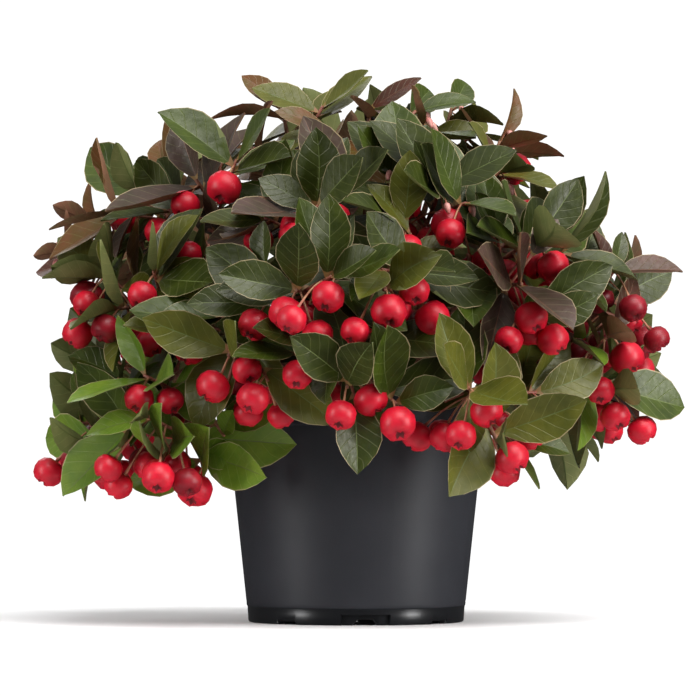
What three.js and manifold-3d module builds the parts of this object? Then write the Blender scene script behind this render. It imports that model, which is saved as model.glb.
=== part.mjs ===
// A potted wintergreen: a low evergreen shrub with leathery leaves and red berries, in a round nursery pot.
// Millimetres, +Z up. The origin is the middle of the pot's underside, and -Y is the front.
import * as THREE from "three";
import { mergeVertices } from "three/addons/utils/BufferGeometryUtils.js";
import Module from "manifold-3d";

const wasm = await Module();
wasm.setup();

const GAP = 0.3;
const FLAT = 0.004;
const UP = new THREE.Vector3(0, 0, 1);
const GOLDEN_TURN = 137.5;

// The pot is a 12 cm round one, with a deep rim band and a low foot ring that stands on six feet.
const POT = {
  height: 103,
  sides: 36,
  turn: 5,
  rimRadius: 60.4,
  rimBottom: 90,
  rimBottomRadius: 59.9,
  rimWall: 1.6,
  bodyTopRadius: 59.1,
  bodyBottom: 8.2,
  bodyBottomRadius: 50.2,
  footTop: 7.4,
  footRadius: 49.9,
  footBottomRadius: 49.5,
  footEdge: 1,
  footRing: 5,
  floorUnder: 5.4,
  floorTop: 7.4,
  wall: 1.5,
};
const ARCH = { count: 2, width: 22, height: 4.8, depth: 1.8, throatTop: 7, throatFoot: 12, throatHeight: 2.6 };
const SLOT = { count: 4, width: 10.6, height: 1.5 };
const DRAIN = { count: 6, radius: 4, ring: 34, sides: 8 };
const CUT_PAST = 2;

const SOIL = { top: 92, crown: 2.5 };
const ROOTSTOCK = {
  radius: 19,
  height: 12,
  sides: 12,
  haunch: { radius: 0.86, height: 0.5 },
  crown: { radius: 0.5, height: 0.87 },
};

// Every main stem bows up from inside the rootstock and over to the tip of its mass.
// Its lower part is a bough, and its last part belongs to the mass.
const STEM = {
  sunk: 0.9,
  flattest: 24,
  steepest: 82,
  bendOut: 0.5,
  bendHeight: 150,
  joinAt: 0.7,
  footRadius: 1.75,
  joinRadius: 1.25,
  tipRadius: 0.85,
  boughSides: 4,
  boughSteps: 3,
  twigSides: 3,
  twigSteps: 3,
};
const SHOOTS = 3;
const SIDE_SHOOT = {
  length: 27,
  lengthSpread: 8,
  firstAt: 0.12,
  lastAt: 0.74,
  fan: 56,
  turnSpread: 30,
  rise: 0.28,
  footRadius: 0.8,
  tipRadius: 0.75,
  rootShare: 0.2,
};
const WHORL = { along: 0.45, outward: 0.55, up: 0.42 };

// A leaf is a keeled blade: its two halves lift from the midrib, and its root is sunk in its shoot.
const LEAF = {
  count: 5,
  length: 41,
  lengthSpread: 10,
  firstShare: 0.8,
  widthShare: 0.54,
  thickness: 0.7,
  keelAt: 0.5,
  widest: 0.36,
  shoulder: 0.74,
  shoulderShare: 0.8,
  fold: 0.3,
  curl: 0.03,
  first: 1,
  spacing: 2.6,
  firstOpening: 34,
  openingStep: 13,
  openingSpread: 16,
  turnSpread: 30,
  sag: 0.14,
  rootShare: 0.14,
};
const BERRY = {
  radius: 7.3,
  radiusSpread: 1.4,
  flatness: 0.9,
  facetShare: 1.08,
  sunk: 0.8,
  lean: 0.3,
  stalk: 0.55,
  first: 3,
  spacing: 3,
  fan: 62,
  out: 9,
  outStep: 1.5,
  drop: 4,
  lower: 5,
  rootShare: 0.35,
};
const FARTHEST_BACK = 0.8;

// How far the leaves may reach, and what a leaf or berry does when its own place is taken.
const REACH = { side: 150, depth: 140, top: 252, bottom: 44, lowestTwig: 64 };
const TRY = { count: 12, turn: 21, lift: 7, shrink: 0.015 };

// Each mass draws its chances from seeds of its own: one for its side shoots and one for each shoot.
const SEEDS_A_MASS = 16;

// Each mass of foliage: its main stem's tip, the turn of its whorls, the size of its leaves, and its berries.
const MASSES = [
  { name: "top_left", at: [-34, -4, 236], turn: 150, size: 0.86, berries: 0 },
  { name: "top_middle", at: [6, -10, 236], turn: 40, size: 0.82, berries: 0 },
  { name: "top_right", at: [44, 4, 236], turn: 20, size: 0.86, berries: 0 },
  { name: "crest_right", at: [66, -14, 220], turn: 75, size: 0.85, berries: 1 },
  { name: "left_crest", at: [-72, -52, 200], turn: 110, size: 1, berries: 3 },
  { name: "left_shoulder", at: [-100, -26, 196], turn: 30, size: 1, berries: 1 },
  { name: "centre_high", at: [-24, -84, 188], turn: 80, size: 1.05, berries: 3 },
  { name: "right_high", at: [38, -70, 196], turn: 10, size: 1.05, berries: 2 },
  { name: "right_shoulder", at: [78, -56, 172], turn: 55, size: 1.1, berries: 2 },
  { name: "far_left", at: [-122, 4, 184], turn: 0, size: 0.7, berries: 0 },
  { name: "left_middle", at: [-108, -54, 142], turn: 250, size: 0.95, berries: 3 },
  { name: "centre_front", at: [-26, -114, 148], turn: 75, size: 1.05, berries: 4 },
  { name: "right_front", at: [24, -104, 158], turn: 320, size: 1, berries: 4 },
  { name: "right_middle", at: [73, -84, 152], turn: 140, size: 1.05, berries: 4 },
  { name: "far_right", at: [119, -20, 146], turn: 35, size: 0.95, berries: 4 },
  { name: "skirt_far_left", at: [-120, -38, 80], turn: 60, size: 1, berries: 2 },
  { name: "skirt_left", at: [-86, -78, 74], turn: 345, size: 1, berries: 4 },
  { name: "skirt_front_left", at: [-56, -98, 120], turn: 30, size: 1, berries: 4 },
  { name: "skirt_front", at: [-4, -112, 106], turn: 50, size: 1, berries: 4 },
  { name: "skirt_right", at: [62, -94, 82], turn: 220, size: 1, berries: 4 },
  { name: "skirt_far_right", at: [114, -46, 106], turn: 170, size: 1, berries: 3 },
  { name: "back_top", at: [4, 58, 216], turn: 240, size: 1, berries: 1 },
  { name: "back_left", at: [-86, 66, 168], turn: 325, size: 1.1, berries: 1 },
  { name: "back_right", at: [86, 66, 168], turn: 130, size: 1.1, berries: 1 },
  { name: "back_middle", at: [6, 108, 162], turn: 95, size: 1.1, berries: 1 },
  { name: "back_skirt", at: [-4, 107, 92], turn: 190, size: 1.1, berries: 3 },
  { name: "side_left", at: [-106, 56, 106], turn: 100, size: 1.1, berries: 2 },
  { name: "side_right", at: [108, 54, 104], turn: 20, size: 1.1, berries: 2 },
];

const radians = THREE.MathUtils.degToRad;

// A linear congruential generator: the same seed always gives the same run of numbers between 0 and 1.
function seeded(seed) {
  const range = 2 ** 32;
  let state = (seed * 2654435761) % range;
  return () => {
    state = (Math.imul(state, 1664525) + 1013904223) >>> 0;
    return state / range;
  };
}

// How far a drawn number moves a value either way within its spread.
function stray(drawn, spread) {
  return (drawn - 0.5) * spread;
}

// A closed geometry as a solid for joining and cutting.
function solidOf(geometry) {
  const bare = geometry.clone();
  bare.deleteAttribute("normal");
  bare.deleteAttribute("uv");
  const merged = mergeVertices(bare);
  const vertProperties = merged.attributes.position.array;
  const triVerts = new Uint32Array(merged.index.array);
  return new wasm.Manifold(new wasm.Mesh({ numProp: 3, vertProperties, triVerts }));
}

// The largest closed body of a solid, so that a hollow sealed by fusing is filled and a loose scrap is dropped.
function geometryOf(solid) {
  const bodies = solid.decompose().sort((a, b) => b.volume() - a.volume());
  const mesh = bodies[0].simplify(FLAT).getMesh();
  const geometry = new THREE.BufferGeometry();
  geometry.setAttribute("position", new THREE.BufferAttribute(mesh.vertProperties, 3));
  geometry.setIndex(new THREE.BufferAttribute(mesh.triVerts, 1));
  return geometry.toNonIndexed();
}

function joined(solids) {
  return solids.reduce((whole, solid) => whole.add(solid));
}

// Two directions square to a given one, the first of them level.
function across(direction) {
  const side = new THREE.Vector3().crossVectors(UP, direction).normalize();
  return [side, new THREE.Vector3().crossVectors(direction, side)];
}

// A direction that leans from an axis by an opening, turned round it.
function leaning(axis, turn, opening) {
  const [side, over] = across(axis);
  return axis
    .clone()
    .multiplyScalar(Math.cos(radians(opening)))
    .addScaledVector(side, Math.sin(radians(opening)) * Math.cos(radians(turn)))
    .addScaledVector(over, Math.sin(radians(opening)) * Math.sin(radians(turn)));
}

// One tapering limb: a cylinder bent along a stretch of a curve.
function limb(curve, from, to, fromRadius, toRadius, sides, steps) {
  const geometry = new THREE.CylinderGeometry(1, 1, 1, sides, steps);
  const place = geometry.attributes.position;
  const [side] = across(curve.getTangent((from + to) / 2));
  const point = new THREE.Vector3();
  for (let i = 0; i < place.count; i++) {
    point.fromBufferAttribute(place, i);
    const share = point.y + 0.5;
    const at = from + (to - from) * share;
    const radius = fromRadius + (toRadius - fromRadius) * share;
    const along = curve.getTangent(at);
    const left = side.clone().addScaledVector(along, -side.dot(along)).normalize();
    const over = new THREE.Vector3().crossVectors(left, along);
    const spot = curve.getPoint(at);
    spot.addScaledVector(left, point.x * radius).addScaledVector(over, point.z * radius);
    place.setXYZ(i, spot.x, spot.y, spot.z);
  }
  return solidOf(geometry).simplify(FLAT);
}

const WALL_SLOPE = (POT.bodyTopRadius - POT.bodyBottomRadius) / (POT.rimBottom - POT.bodyBottom);

// A section of [radius, height] points spun round the pot's axis.
function spun(section, sides) {
  const points = section.map(([radius, height]) => new THREE.Vector2(radius, height));
  return solidOf(new THREE.LatheGeometry(points, sides).rotateX(Math.PI / 2));
}

// The pot's wall and floor in section, spun round, then its foot ring and floor cut.
function pot() {
  const floorRadius = POT.bodyBottomRadius - POT.wall;
  const section = [
    [0, POT.floorUnder],
    [POT.footBottomRadius - POT.footRing, POT.floorUnder],
    [POT.footBottomRadius - POT.footRing, 0],
    [POT.footBottomRadius - POT.footEdge, 0],
    [POT.footBottomRadius, POT.footEdge],
    [POT.footRadius, POT.footTop],
    [POT.bodyBottomRadius, POT.bodyBottom],
    [POT.bodyTopRadius, POT.rimBottom],
    [POT.rimBottomRadius, POT.rimBottom],
    [POT.rimRadius, POT.height],
    [POT.rimRadius - POT.rimWall, POT.height],
    [floorRadius + WALL_SLOPE * (POT.rimBottom - POT.floorTop), POT.rimBottom],
    [floorRadius, POT.floorTop],
    [0, POT.floorTop],
  ];
  const cuts = [...footCuts(), ...drainHoles()];
  return cuts.reduce((whole, cut) => whole.subtract(cut), spun(section, POT.sides)).rotate(0, 0, POT.turn);
}

// What is cut from the foot ring: an arch at the front and one behind, each with a narrower throat,
// and four slots between them.
function footCuts() {
  const cuts = [];
  const reach = POT.footRing + 2 * CUT_PAST;
  const middle = POT.footRadius - POT.footRing / 2;
  for (let i = 0; i < ARCH.count; i++) {
    const turn = -Math.PI / 2 + (i * 2 * Math.PI) / ARCH.count;
    const front = new THREE.BoxGeometry(ARCH.depth * 2, ARCH.width, ARCH.height * 2);
    front.translate(POT.footRadius, 0, 0).rotateZ(turn);
    const throat = new THREE.Shape([
      new THREE.Vector2(-ARCH.throatFoot / 2, -CUT_PAST),
      new THREE.Vector2(ARCH.throatFoot / 2, -CUT_PAST),
      new THREE.Vector2(ARCH.throatTop / 2, ARCH.throatHeight),
      new THREE.Vector2(-ARCH.throatTop / 2, ARCH.throatHeight),
    ]);
    const back = new THREE.ExtrudeGeometry(throat, { depth: reach, bevelEnabled: false });
    back.rotateX(Math.PI / 2).rotateZ(Math.PI / 2);
    back.translate(middle - reach / 2, 0, 0).rotateZ(turn);
    cuts.push(solidOf(front), solidOf(back));
  }
  for (let i = 0; i < SLOT.count; i++) {
    const turn = -Math.PI / 4 + (i * 2 * Math.PI) / SLOT.count;
    const slot = new THREE.BoxGeometry(reach, SLOT.width, SLOT.height * 2);
    cuts.push(solidOf(slot.translate(middle, 0, 0).rotateZ(turn)));
  }
  return cuts;
}

function drainHoles() {
  return Array.from({ length: DRAIN.count }, (unused, i) => {
    const turn = ((i + 0.5) * 2 * Math.PI) / DRAIN.count;
    const hole = new THREE.CylinderGeometry(DRAIN.radius, DRAIN.radius, POT.floorTop, DRAIN.sides);
    hole.rotateX(Math.PI / 2).translate(DRAIN.ring, 0, POT.floorTop).rotateZ(turn);
    return solidOf(hole);
  });
}

// The peat that fills the pot, mounded a little to its middle.
function soil() {
  const bottom = POT.floorTop + GAP;
  const bottomRadius = POT.bodyBottomRadius - POT.wall - GAP;
  const edge = SOIL.top - SOIL.crown;
  const section = [
    [0, bottom],
    [bottomRadius, bottom],
    [bottomRadius + WALL_SLOPE * (edge - bottom), edge],
    [0, SOIL.top],
  ];
  return spun(section, POT.sides).rotate(0, 0, POT.turn);
}

// The short woody foot that every stem leaves: a knob on the soil, grown by a margin all round.
function rootstock(margin = 0) {
  const { radius, height, haunch, crown } = ROOTSTOCK;
  return spun(
    [
      [0, SOIL.top + GAP - margin],
      [radius + margin, SOIL.top + GAP - margin],
      [radius * haunch.radius + margin, SOIL.top + height * haunch.height],
      [radius * crown.radius + margin, SOIL.top + height * crown.height + margin],
      [0, SOIL.top + height + margin],
    ],
    ROOTSTOCK.sides,
  );
}

// The bow of a mass's main stem. It leaves the rootstock steeply to a high tip, and flatly to a low one.
function stemCurve(at) {
  const tip = new THREE.Vector3(...at);
  const level = new THREE.Vector3(tip.x, tip.y, 0);
  const steepness = Math.atan2(tip.z - SOIL.top, level.length()) / (Math.PI / 2);
  const rise = radians(THREE.MathUtils.lerp(STEM.flattest, STEM.steepest, steepness));
  const bend = level.clone().multiplyScalar(STEM.bendOut).setZ(STEM.bendHeight);
  const foot = level.normalize().multiplyScalar(STEM.sunk * ROOTSTOCK.radius * Math.cos(rise));
  foot.z = SOIL.top + STEM.sunk * ROOTSTOCK.height * Math.sin(rise);
  return new THREE.QuadraticBezierCurve3(foot, bend, tip);
}

// The lower part of a main stem, cut to the rootstock at its foot and ending just short of its mass.
function bough(curve) {
  const end = STEM.joinAt - GAP / curve.getLength();
  const whole = limb(curve, 0, end, STEM.footRadius, STEM.joinRadius, STEM.boughSides, STEM.boughSteps);
  return whole.subtract(rootstock(GAP));
}

// A shoot's whorl faces between the way the shoot grows, the way out of the crown, and the light.
function whorlAxis(along, tip) {
  const outward = new THREE.Vector3(tip.x, tip.y, 0).normalize();
  const axis = along.clone().multiplyScalar(WHORL.along);
  return axis.addScaledVector(outward, WHORL.outward).addScaledVector(UP, WHORL.up).normalize();
}

// What stands in the crown so far. A piece keeps clear of every other mass with its whole self,
// and of its own mass with its free part, because its root is fused to its shoot.
const standing = [];

function boxesMeet(a, b) {
  return [0, 1, 2].every((k) => a.min[k] <= b.max[k] && b.min[k] <= a.max[k]);
}

function isClear(whole, free, mass) {
  const box = whole.boundingBox();
  return standing.every((other) => {
    if (!boxesMeet(box, other.box)) return true;
    if (other.mass !== mass) return whole.intersect(other.whole).isEmpty();
    return free.intersect(other.free).isEmpty();
  });
}

function stand(whole, free, mass) {
  standing.push({ whole, free, mass, box: whole.boundingBox() });
}

// A blade's faces: four above that meet along the midrib, and six below that meet at the keel.
const BLADE_FACES = [5, 0, 1, 5, 1, 3, 5, 4, 2, 5, 2, 0, 6, 1, 0, 6, 3, 1, 6, 5, 3, 6, 4, 5, 6, 2, 4, 6, 0, 2];

// A blade from its root to its tip. grown thickens it all round, and from starts it past its root.
function blade(leaf, grown = 0, from = 0) {
  const { root, along, face, length, width } = leaf;
  const side = new THREE.Vector3().crossVectors(face, along);
  const half = width / 2 + grown;
  const shoulder = half * LEAF.shoulderShare;
  const lifted = LEAF.fold * shoulder - LEAF.curl * length + grown;
  const spots = [
    [from * length, 0, grown],
    [length * LEAF.widest, -half, LEAF.fold * half + grown],
    [length * LEAF.widest, half, LEAF.fold * half + grown],
    [length * LEAF.shoulder, -shoulder, lifted],
    [length * LEAF.shoulder, shoulder, lifted],
    [length + grown, 0, grown],
    [length * LEAF.keelAt, 0, -LEAF.thickness - grown],
  ];
  const place = spots.flatMap(([x, y, z]) =>
    root.clone().addScaledVector(along, x).addScaledVector(side, y).addScaledVector(face, z).toArray(),
  );
  const geometry = new THREE.BufferGeometry();
  geometry.setAttribute("position", new THREE.Float32BufferAttribute(place, 3));
  geometry.setIndex(BLADE_FACES);
  return solidOf(geometry);
}

function inReach({ root, along, length }) {
  const tip = root.clone().addScaledVector(along, length);
  const sides = Math.abs(tip.x) <= REACH.side && Math.abs(tip.y) <= REACH.depth;
  return sides && tip.z <= REACH.top && tip.z >= REACH.bottom;
}

// A place on a shoot at a distance back from its tip.
function behindTip(shoot, distance) {
  return shoot.curve.getPoint(1 - Math.min(FARTHEST_BACK, distance / shoot.length));
}

// Each new attempt turns a little farther from the first place, to one side and the other by turns.
function swing(attempt) {
  return (attempt % 2 ? 1 : -1) * Math.ceil(attempt / 2) * TRY.turn;
}

// The leaf of one rank on a shoot: the first rank stands close round the tip, and the next open wider below it.
function leafAt(shoot, rank, draw, attempt) {
  const turn = shoot.turn + rank * GOLDEN_TURN + stray(draw.turn, LEAF.turnSpread) + swing(attempt);
  const lift = (attempt % 3) * TRY.lift + stray(draw.opening, LEAF.openingSpread);
  const opening = LEAF.firstOpening + rank * LEAF.openingStep + lift;
  const along = leaning(shoot.axis, turn, opening).addScaledVector(UP, -LEAF.sag).normalize();
  const face = shoot.axis.clone().addScaledVector(along, -shoot.axis.dot(along)).normalize();
  const share = shoot.mass.size * (rank ? 1 : LEAF.firstShare) * (1 - attempt * TRY.shrink);
  const length = (LEAF.length + stray(draw.length, LEAF.lengthSpread)) * share;
  const root = behindTip(shoot, LEAF.first + rank * LEAF.spacing);
  return { root, along, face, length, width: length * LEAF.widthShare };
}

function growLeaf(shoot, rank) {
  const draw = { turn: shoot.random(), opening: shoot.random(), length: shoot.random() };
  for (let attempt = 0; attempt < TRY.count; attempt++) {
    const leaf = leafAt(shoot, rank, draw, attempt);
    const whole = blade(leaf, GAP);
    const free = blade(leaf, GAP, LEAF.rootShare);
    if (inReach(leaf) && isClear(whole, free, shoot.mass)) {
      stand(whole, free, shoot.mass);
      shoot.mass.solids.push(blade(leaf));
      return;
    }
  }
}

// A berry's ball, with the middle of one face turned to its stalk.
function ball(centre, stalkSide, radius) {
  const faceMiddle = new THREE.Vector3(1, 1, 1).normalize();
  const facing = new THREE.Quaternion().setFromUnitVectors(faceMiddle, stalkSide);
  const geometry = new THREE.IcosahedronGeometry(radius * BERRY.facetShare, 0).applyQuaternion(facing);
  return solidOf(geometry.scale(1, 1, BERRY.flatness).translate(centre.x, centre.y, centre.z));
}

// A berry hangs outside its shoot, on a stalk that leaves it outward and down.
// The berries of one shoot fan out to both sides.
function growBerry(shoot, rank) {
  const draw = { turn: shoot.random(), size: shoot.random() };
  const radius = BERRY.radius + stray(draw.size, BERRY.radiusSpread);
  const root = behindTip(shoot, BERRY.first + rank * BERRY.spacing);
  const side = (rank % 2 ? 1 : -1) * Math.ceil(rank / 2);
  for (let attempt = 0; attempt < TRY.count; attempt++) {
    const turn = (side + stray(draw.turn, 1)) * BERRY.fan - swing(attempt);
    const drop = BERRY.drop + (attempt % 3) * BERRY.lower;
    const out = new THREE.Vector3(root.x, root.y, 0).normalize().applyAxisAngle(UP, radians(turn));
    const away = BERRY.out + rank * BERRY.outStep;
    const crown = root.clone().addScaledVector(out, away).addScaledVector(UP, -drop);
    const centre = crown.clone().addScaledVector(UP, -radius * BERRY.sunk);
    const stalkSide = UP.clone().addScaledVector(out, -BERRY.lean).normalize();
    const curve = new THREE.LineCurve3(root, crown);
    const stalk = (from) => limb(curve, from, 1, BERRY.stalk, BERRY.stalk, STEM.twigSides, 1);
    const grown = ball(centre, stalkSide, radius + GAP);
    const whole = grown.add(stalk(0));
    const free = grown.add(stalk(BERRY.rootShare));
    if (isClear(whole, free, shoot.mass)) {
      stand(whole, free, shoot.mass);
      shoot.mass.solids.push(stalk(0), ball(centre, stalkSide, radius));
      return;
    }
  }
}

function sideTwig(curve, from) {
  return limb(curve, from, 1, SIDE_SHOOT.footRadius, SIDE_SHOOT.tipRadius, STEM.twigSides, 1);
}

// One side shoot of a mass: where it leaves the main stem, how far it reaches, and the way it takes there.
function growSideShoot(mass, main, side, draw) {
  const share = SIDE_SHOOT.firstAt + ((SIDE_SHOOT.lastAt - SIDE_SHOOT.firstAt) * side) / SHOOTS;
  const at = THREE.MathUtils.lerp(STEM.joinAt, 1, share);
  const start = main.getPoint(at);
  const length = SIDE_SHOOT.length + stray(draw.length, SIDE_SHOOT.lengthSpread);
  for (let attempt = 0; attempt < TRY.count; attempt++) {
    const spin = stray(draw.turn, SIDE_SHOOT.turnSpread) + attempt * TRY.turn;
    const turn = mass.turn + side * GOLDEN_TURN + spin;
    const along = leaning(main.getTangent(at), turn, SIDE_SHOOT.fan).addScaledVector(UP, SIDE_SHOOT.rise);
    const tip = start.clone().addScaledVector(along.normalize(), length);
    const curve = new THREE.LineCurve3(start, tip);
    const whole = sideTwig(curve, 0);
    const free = sideTwig(curve, SIDE_SHOOT.rootShare);
    if (tip.z > REACH.lowestTwig && isClear(whole, free, mass)) {
      stand(whole, free, mass);
      mass.solids.push(whole);
      return { curve, turn };
    }
  }
  return null;
}

// A mass's shoots: the end of its main stem, and side shoots that fan round it.
function growShoots(mass, index) {
  const seed = index * SEEDS_A_MASS;
  const random = seeded(seed + 1);
  const main = stemCurve(mass.at);
  const stem = limb(main, STEM.joinAt, 1, STEM.joinRadius, STEM.tipRadius, STEM.twigSides, STEM.twigSteps);
  mass.solids = [stem];
  stand(stem, stem, mass);
  const shoots = [{ curve: main, turn: mass.turn, seed: seed + 2 }];
  for (let side = 1; side < SHOOTS; side++) {
    const draw = { length: random(), turn: random() };
    const shoot = growSideShoot(mass, main, side, draw);
    if (shoot) shoots.push({ ...shoot, seed: seed + 2 + side });
  }
  return shoots.map(({ curve, turn, seed: own }, i) => ({
    mass,
    curve,
    turn,
    length: curve.getLength(),
    axis: whorlAxis(curve.getTangent(1), curve.getPoint(1)),
    random: seeded(own),
    leaves: i ? LEAF.count - 1 : LEAF.count,
    berries: Math.ceil((mass.berries - i) / shoots.length),
  }));
}

const materials = {
  pot: new THREE.MeshStandardMaterial({ name: "moulded black plastic", color: 0x2c2d31, roughness: 0.48 }),
  soil: new THREE.MeshStandardMaterial({ name: "damp peat", color: 0x2a1e17, roughness: 0.95 }),
  bark: new THREE.MeshStandardMaterial({ name: "reddish young bark", color: 0x7a4a38, roughness: 0.7 }),
  foliage: new THREE.MeshStandardMaterial({ name: "leathery leaves", color: 0x31502a, roughness: 0.4 }),
};

const plant = new THREE.Group();

function add(name, solid, material) {
  const mesh = new THREE.Mesh(geometryOf(solid), material);
  mesh.name = name;
  plant.add(mesh);
}

function addFixed(name, solid, material) {
  stand(solid, solid, null);
  add(name, solid, material);
}

addFixed("pot", pot(), materials.pot);
addFixed("soil", soil(), materials.soil);
addFixed("rootstock", rootstock(), materials.bark);
for (const mass of MASSES) addFixed("bough_" + mass.name, bough(stemCurve(mass.at)), materials.bark);

// The berries take their places first, then the leaves, rank by rank all round the crown.
const shoots = MASSES.flatMap(growShoots);
for (let rank = 0; rank < LEAF.count; rank++) {
  shoots.filter((shoot) => rank < shoot.berries).forEach((shoot) => growBerry(shoot, rank));
}
for (let rank = 0; rank < LEAF.count; rank++) {
  shoots.filter((shoot) => rank < shoot.leaves).forEach((shoot) => growLeaf(shoot, rank));
}
for (const mass of MASSES) add("foliage_" + mass.name, joined(mass.solids), materials.foliage);

export default plant;
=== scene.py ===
# %% [markdown]
# A wintergreen is a low evergreen shrub with leathery leaves and red berries, here in a 12 cm nursery pot.
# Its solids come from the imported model. This script dresses them: every mass of foliage is grown again by
# the rule that made the solids, from the same seeds, and is then carried on to finer twigs and more leaves.

import math

import bpy
import numpy as np
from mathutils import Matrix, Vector
from mathutils.bvhtree import BVHTree


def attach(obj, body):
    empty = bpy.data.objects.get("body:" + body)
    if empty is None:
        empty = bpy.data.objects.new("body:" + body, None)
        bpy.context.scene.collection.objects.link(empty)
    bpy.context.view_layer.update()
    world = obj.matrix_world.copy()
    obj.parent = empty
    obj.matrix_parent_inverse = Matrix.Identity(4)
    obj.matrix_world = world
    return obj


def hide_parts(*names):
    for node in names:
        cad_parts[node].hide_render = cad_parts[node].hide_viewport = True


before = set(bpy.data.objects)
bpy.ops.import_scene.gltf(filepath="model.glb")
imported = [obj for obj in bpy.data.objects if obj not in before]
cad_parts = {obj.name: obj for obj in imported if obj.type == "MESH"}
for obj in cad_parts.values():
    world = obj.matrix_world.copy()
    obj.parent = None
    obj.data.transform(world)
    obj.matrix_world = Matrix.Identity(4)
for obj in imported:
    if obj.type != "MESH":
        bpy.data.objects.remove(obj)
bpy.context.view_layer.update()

# %% [markdown]
# The solids were drawn in millimetres and are packed in metres. Growing is easier to read in millimetres,
# so every shape here is worked out in them, and one factor turns it to metres as it becomes a mesh.

# %% Turn arrays into pieces
MM = 0.001


def build_piece(name, points, quads, materials, looks=0, triangles=None, places=None):
    """One object from whole arrays: points in millimetres, then faces as rows of point numbers.

    looks gives each face the number of its material, quads first, and places gives each point its spot on
    the UV map.
    """
    faces = quads.tolist() + ([] if triangles is None else triangles.tolist())
    mesh = bpy.data.meshes.new(name)
    mesh.from_pydata((points * MM).tolist(), [], faces)
    for material in materials:
        mesh.materials.append(material)
    looks = np.broadcast_to(np.asarray(looks, np.int32), len(faces))
    mesh.polygons.foreach_set("material_index", np.ascontiguousarray(looks))
    mesh.polygons.foreach_set("use_smooth", np.ones(len(faces), bool))
    if places is not None:
        corners = np.empty(len(mesh.loops), np.int32)
        mesh.loops.foreach_get("vertex_index", corners)
        spots = places[corners].ravel().astype(np.float32)
        mesh.uv_layers.new(name="surface").data.foreach_set("uv", spots)
    mesh.update()
    piece = bpy.data.objects.new(name, mesh)
    bpy.context.scene.collection.objects.link(piece)
    print(name, len(faces), "faces")
    return piece


def ring_grid(rows, columns):
    """Quads between the neighbours in rings of points, where the last column joins the first."""
    row, column = np.meshgrid(np.arange(rows - 1), np.arange(columns), indexing="ij")
    beside = (column + 1) % columns
    corners = [row * columns + column, row * columns + beside]
    corners += [(row + 1) * columns + beside, (row + 1) * columns + column]
    return np.stack(corners, axis=-1).reshape(-1, 4)


def copies(faces, count, stride):
    """The faces of one shape, repeated for shapes whose points follow each other by a stride."""
    return (faces + stride * np.arange(count)[:, None, None]).reshape(-1, faces.shape[1])


# %% [markdown]
# A colour that is read off a screen is in sRGB, and the shader wants linear light, so one function turns
# every hex value. A second one adds any shader node together with its settings and its links. Patterns
# are random noise, because living surfaces never repeat, and every one is given its real size.

# %% Helpers for materials
NOISE, MATH, RANGE = "ShaderNodeTexNoise", "ShaderNodeMath", "ShaderNodeMapRange"
MIX, BUMP, SPLIT = "ShaderNodeMix", "ShaderNodeBump", "ShaderNodeSeparateXYZ"


def linear(hex_colour):
    """An sRGB hex value as linear red, green, blue and alpha, by the curve that defines sRGB.

    Dark values are divided by 12.92. The others are shifted, scaled and raised to the power 2.4.
    """
    channels = np.array([int(hex_colour[i : i + 2], 16) for i in (1, 3, 5)]) / 255
    bright = ((channels + 0.055) / 1.055) ** 2.4
    return (*np.where(channels <= 0.04045, channels / 12.92, bright), 1.0)


def connect(tree, node, sources):
    """Gives input sockets their values, or links them from other nodes' outputs.

    sources is a dictionary, or a list for a node whose sockets are only numbered.
    """
    pairs = sources.items() if isinstance(sources, dict) else enumerate(sources)
    for socket, source in pairs:
        if isinstance(source, bpy.types.NodeSocket):
            tree.links.new(source, node.inputs[socket])
        else:
            node.inputs[socket].default_value = source


def put(tree, kind, sources=(), output=0, **settings):
    """Adds one node with its settings and sources, and gives back one of its outputs."""
    node = tree.nodes.new(kind)
    for name, setting in settings.items():
        setattr(node, name, setting)
    connect(tree, node, sources)
    return node.outputs[output]


def start_material(name, roughness, ior):
    """A material with its shader, and the object's own coordinates for its patterns."""
    material = bpy.data.materials.new(name)
    material.use_nodes = True
    tree = material.node_tree
    shader = tree.nodes["Principled BSDF"]
    connect(tree, shader, {"Roughness": roughness, "IOR": ior})
    return material, tree, shader, put(tree, "ShaderNodeTexCoord", output="Object")


# %% [markdown]
# Three habits come back in most finishes, so they get a name here. A noise is told the size of its blotches
# in millimetres. Most of a noise lies between 0.3 and 0.7, so that part is stretched to the whole way
# between two colours or two kinds of gloss. And a bump is told how deep it is.

# %% Patterns at their real size
MOST_OF_NOISE = {"From Min": 0.3, "From Max": 0.7}
COLOURS = {"data_type": "RGBA", "output": 2}


def sized(spot, size_mm, detail=3):
    """What a noise needs for blotches about size_mm across. Its scale is one over that size."""
    return {"Vector": spot, "Scale": 1 / (size_mm * MM), "Detail": detail}


def raised(height, depth_mm, strength=1.0):
    """What a bump needs, to shade the surface as if it rose by depth_mm where height is 1."""
    return {"Height": height, "Distance": depth_mm * MM, "Strength": strength}


def two_tone(tree, pattern, first, second):
    """Two hex colours, the first where a random pattern is low and the second where it is high.

    A Mix node has a pair of sockets for each kind of value. Those for colours are numbers 6 and 7, and the
    colour that comes out is number 2.
    """
    share = put(tree, RANGE, {"Value": pattern, **MOST_OF_NOISE})
    return put(tree, MIX, {"Factor": share, 6: linear(first), 7: linear(second)}, **COLOURS)


# %% [markdown]
# The camera comes first, because everything after it is judged by its view. The photograph looks almost
# level at the pot from about two metres. A long lens there keeps the pot's sides and the crown true.

# %% The camera
SENSOR = 36.0
VIEW_WIDTH = 0.3202
STAND = Vector((-0.004, -2.0, 0.08))
LOOK_AT = Vector((-0.0037, 0.0, 0.1256))

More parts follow.
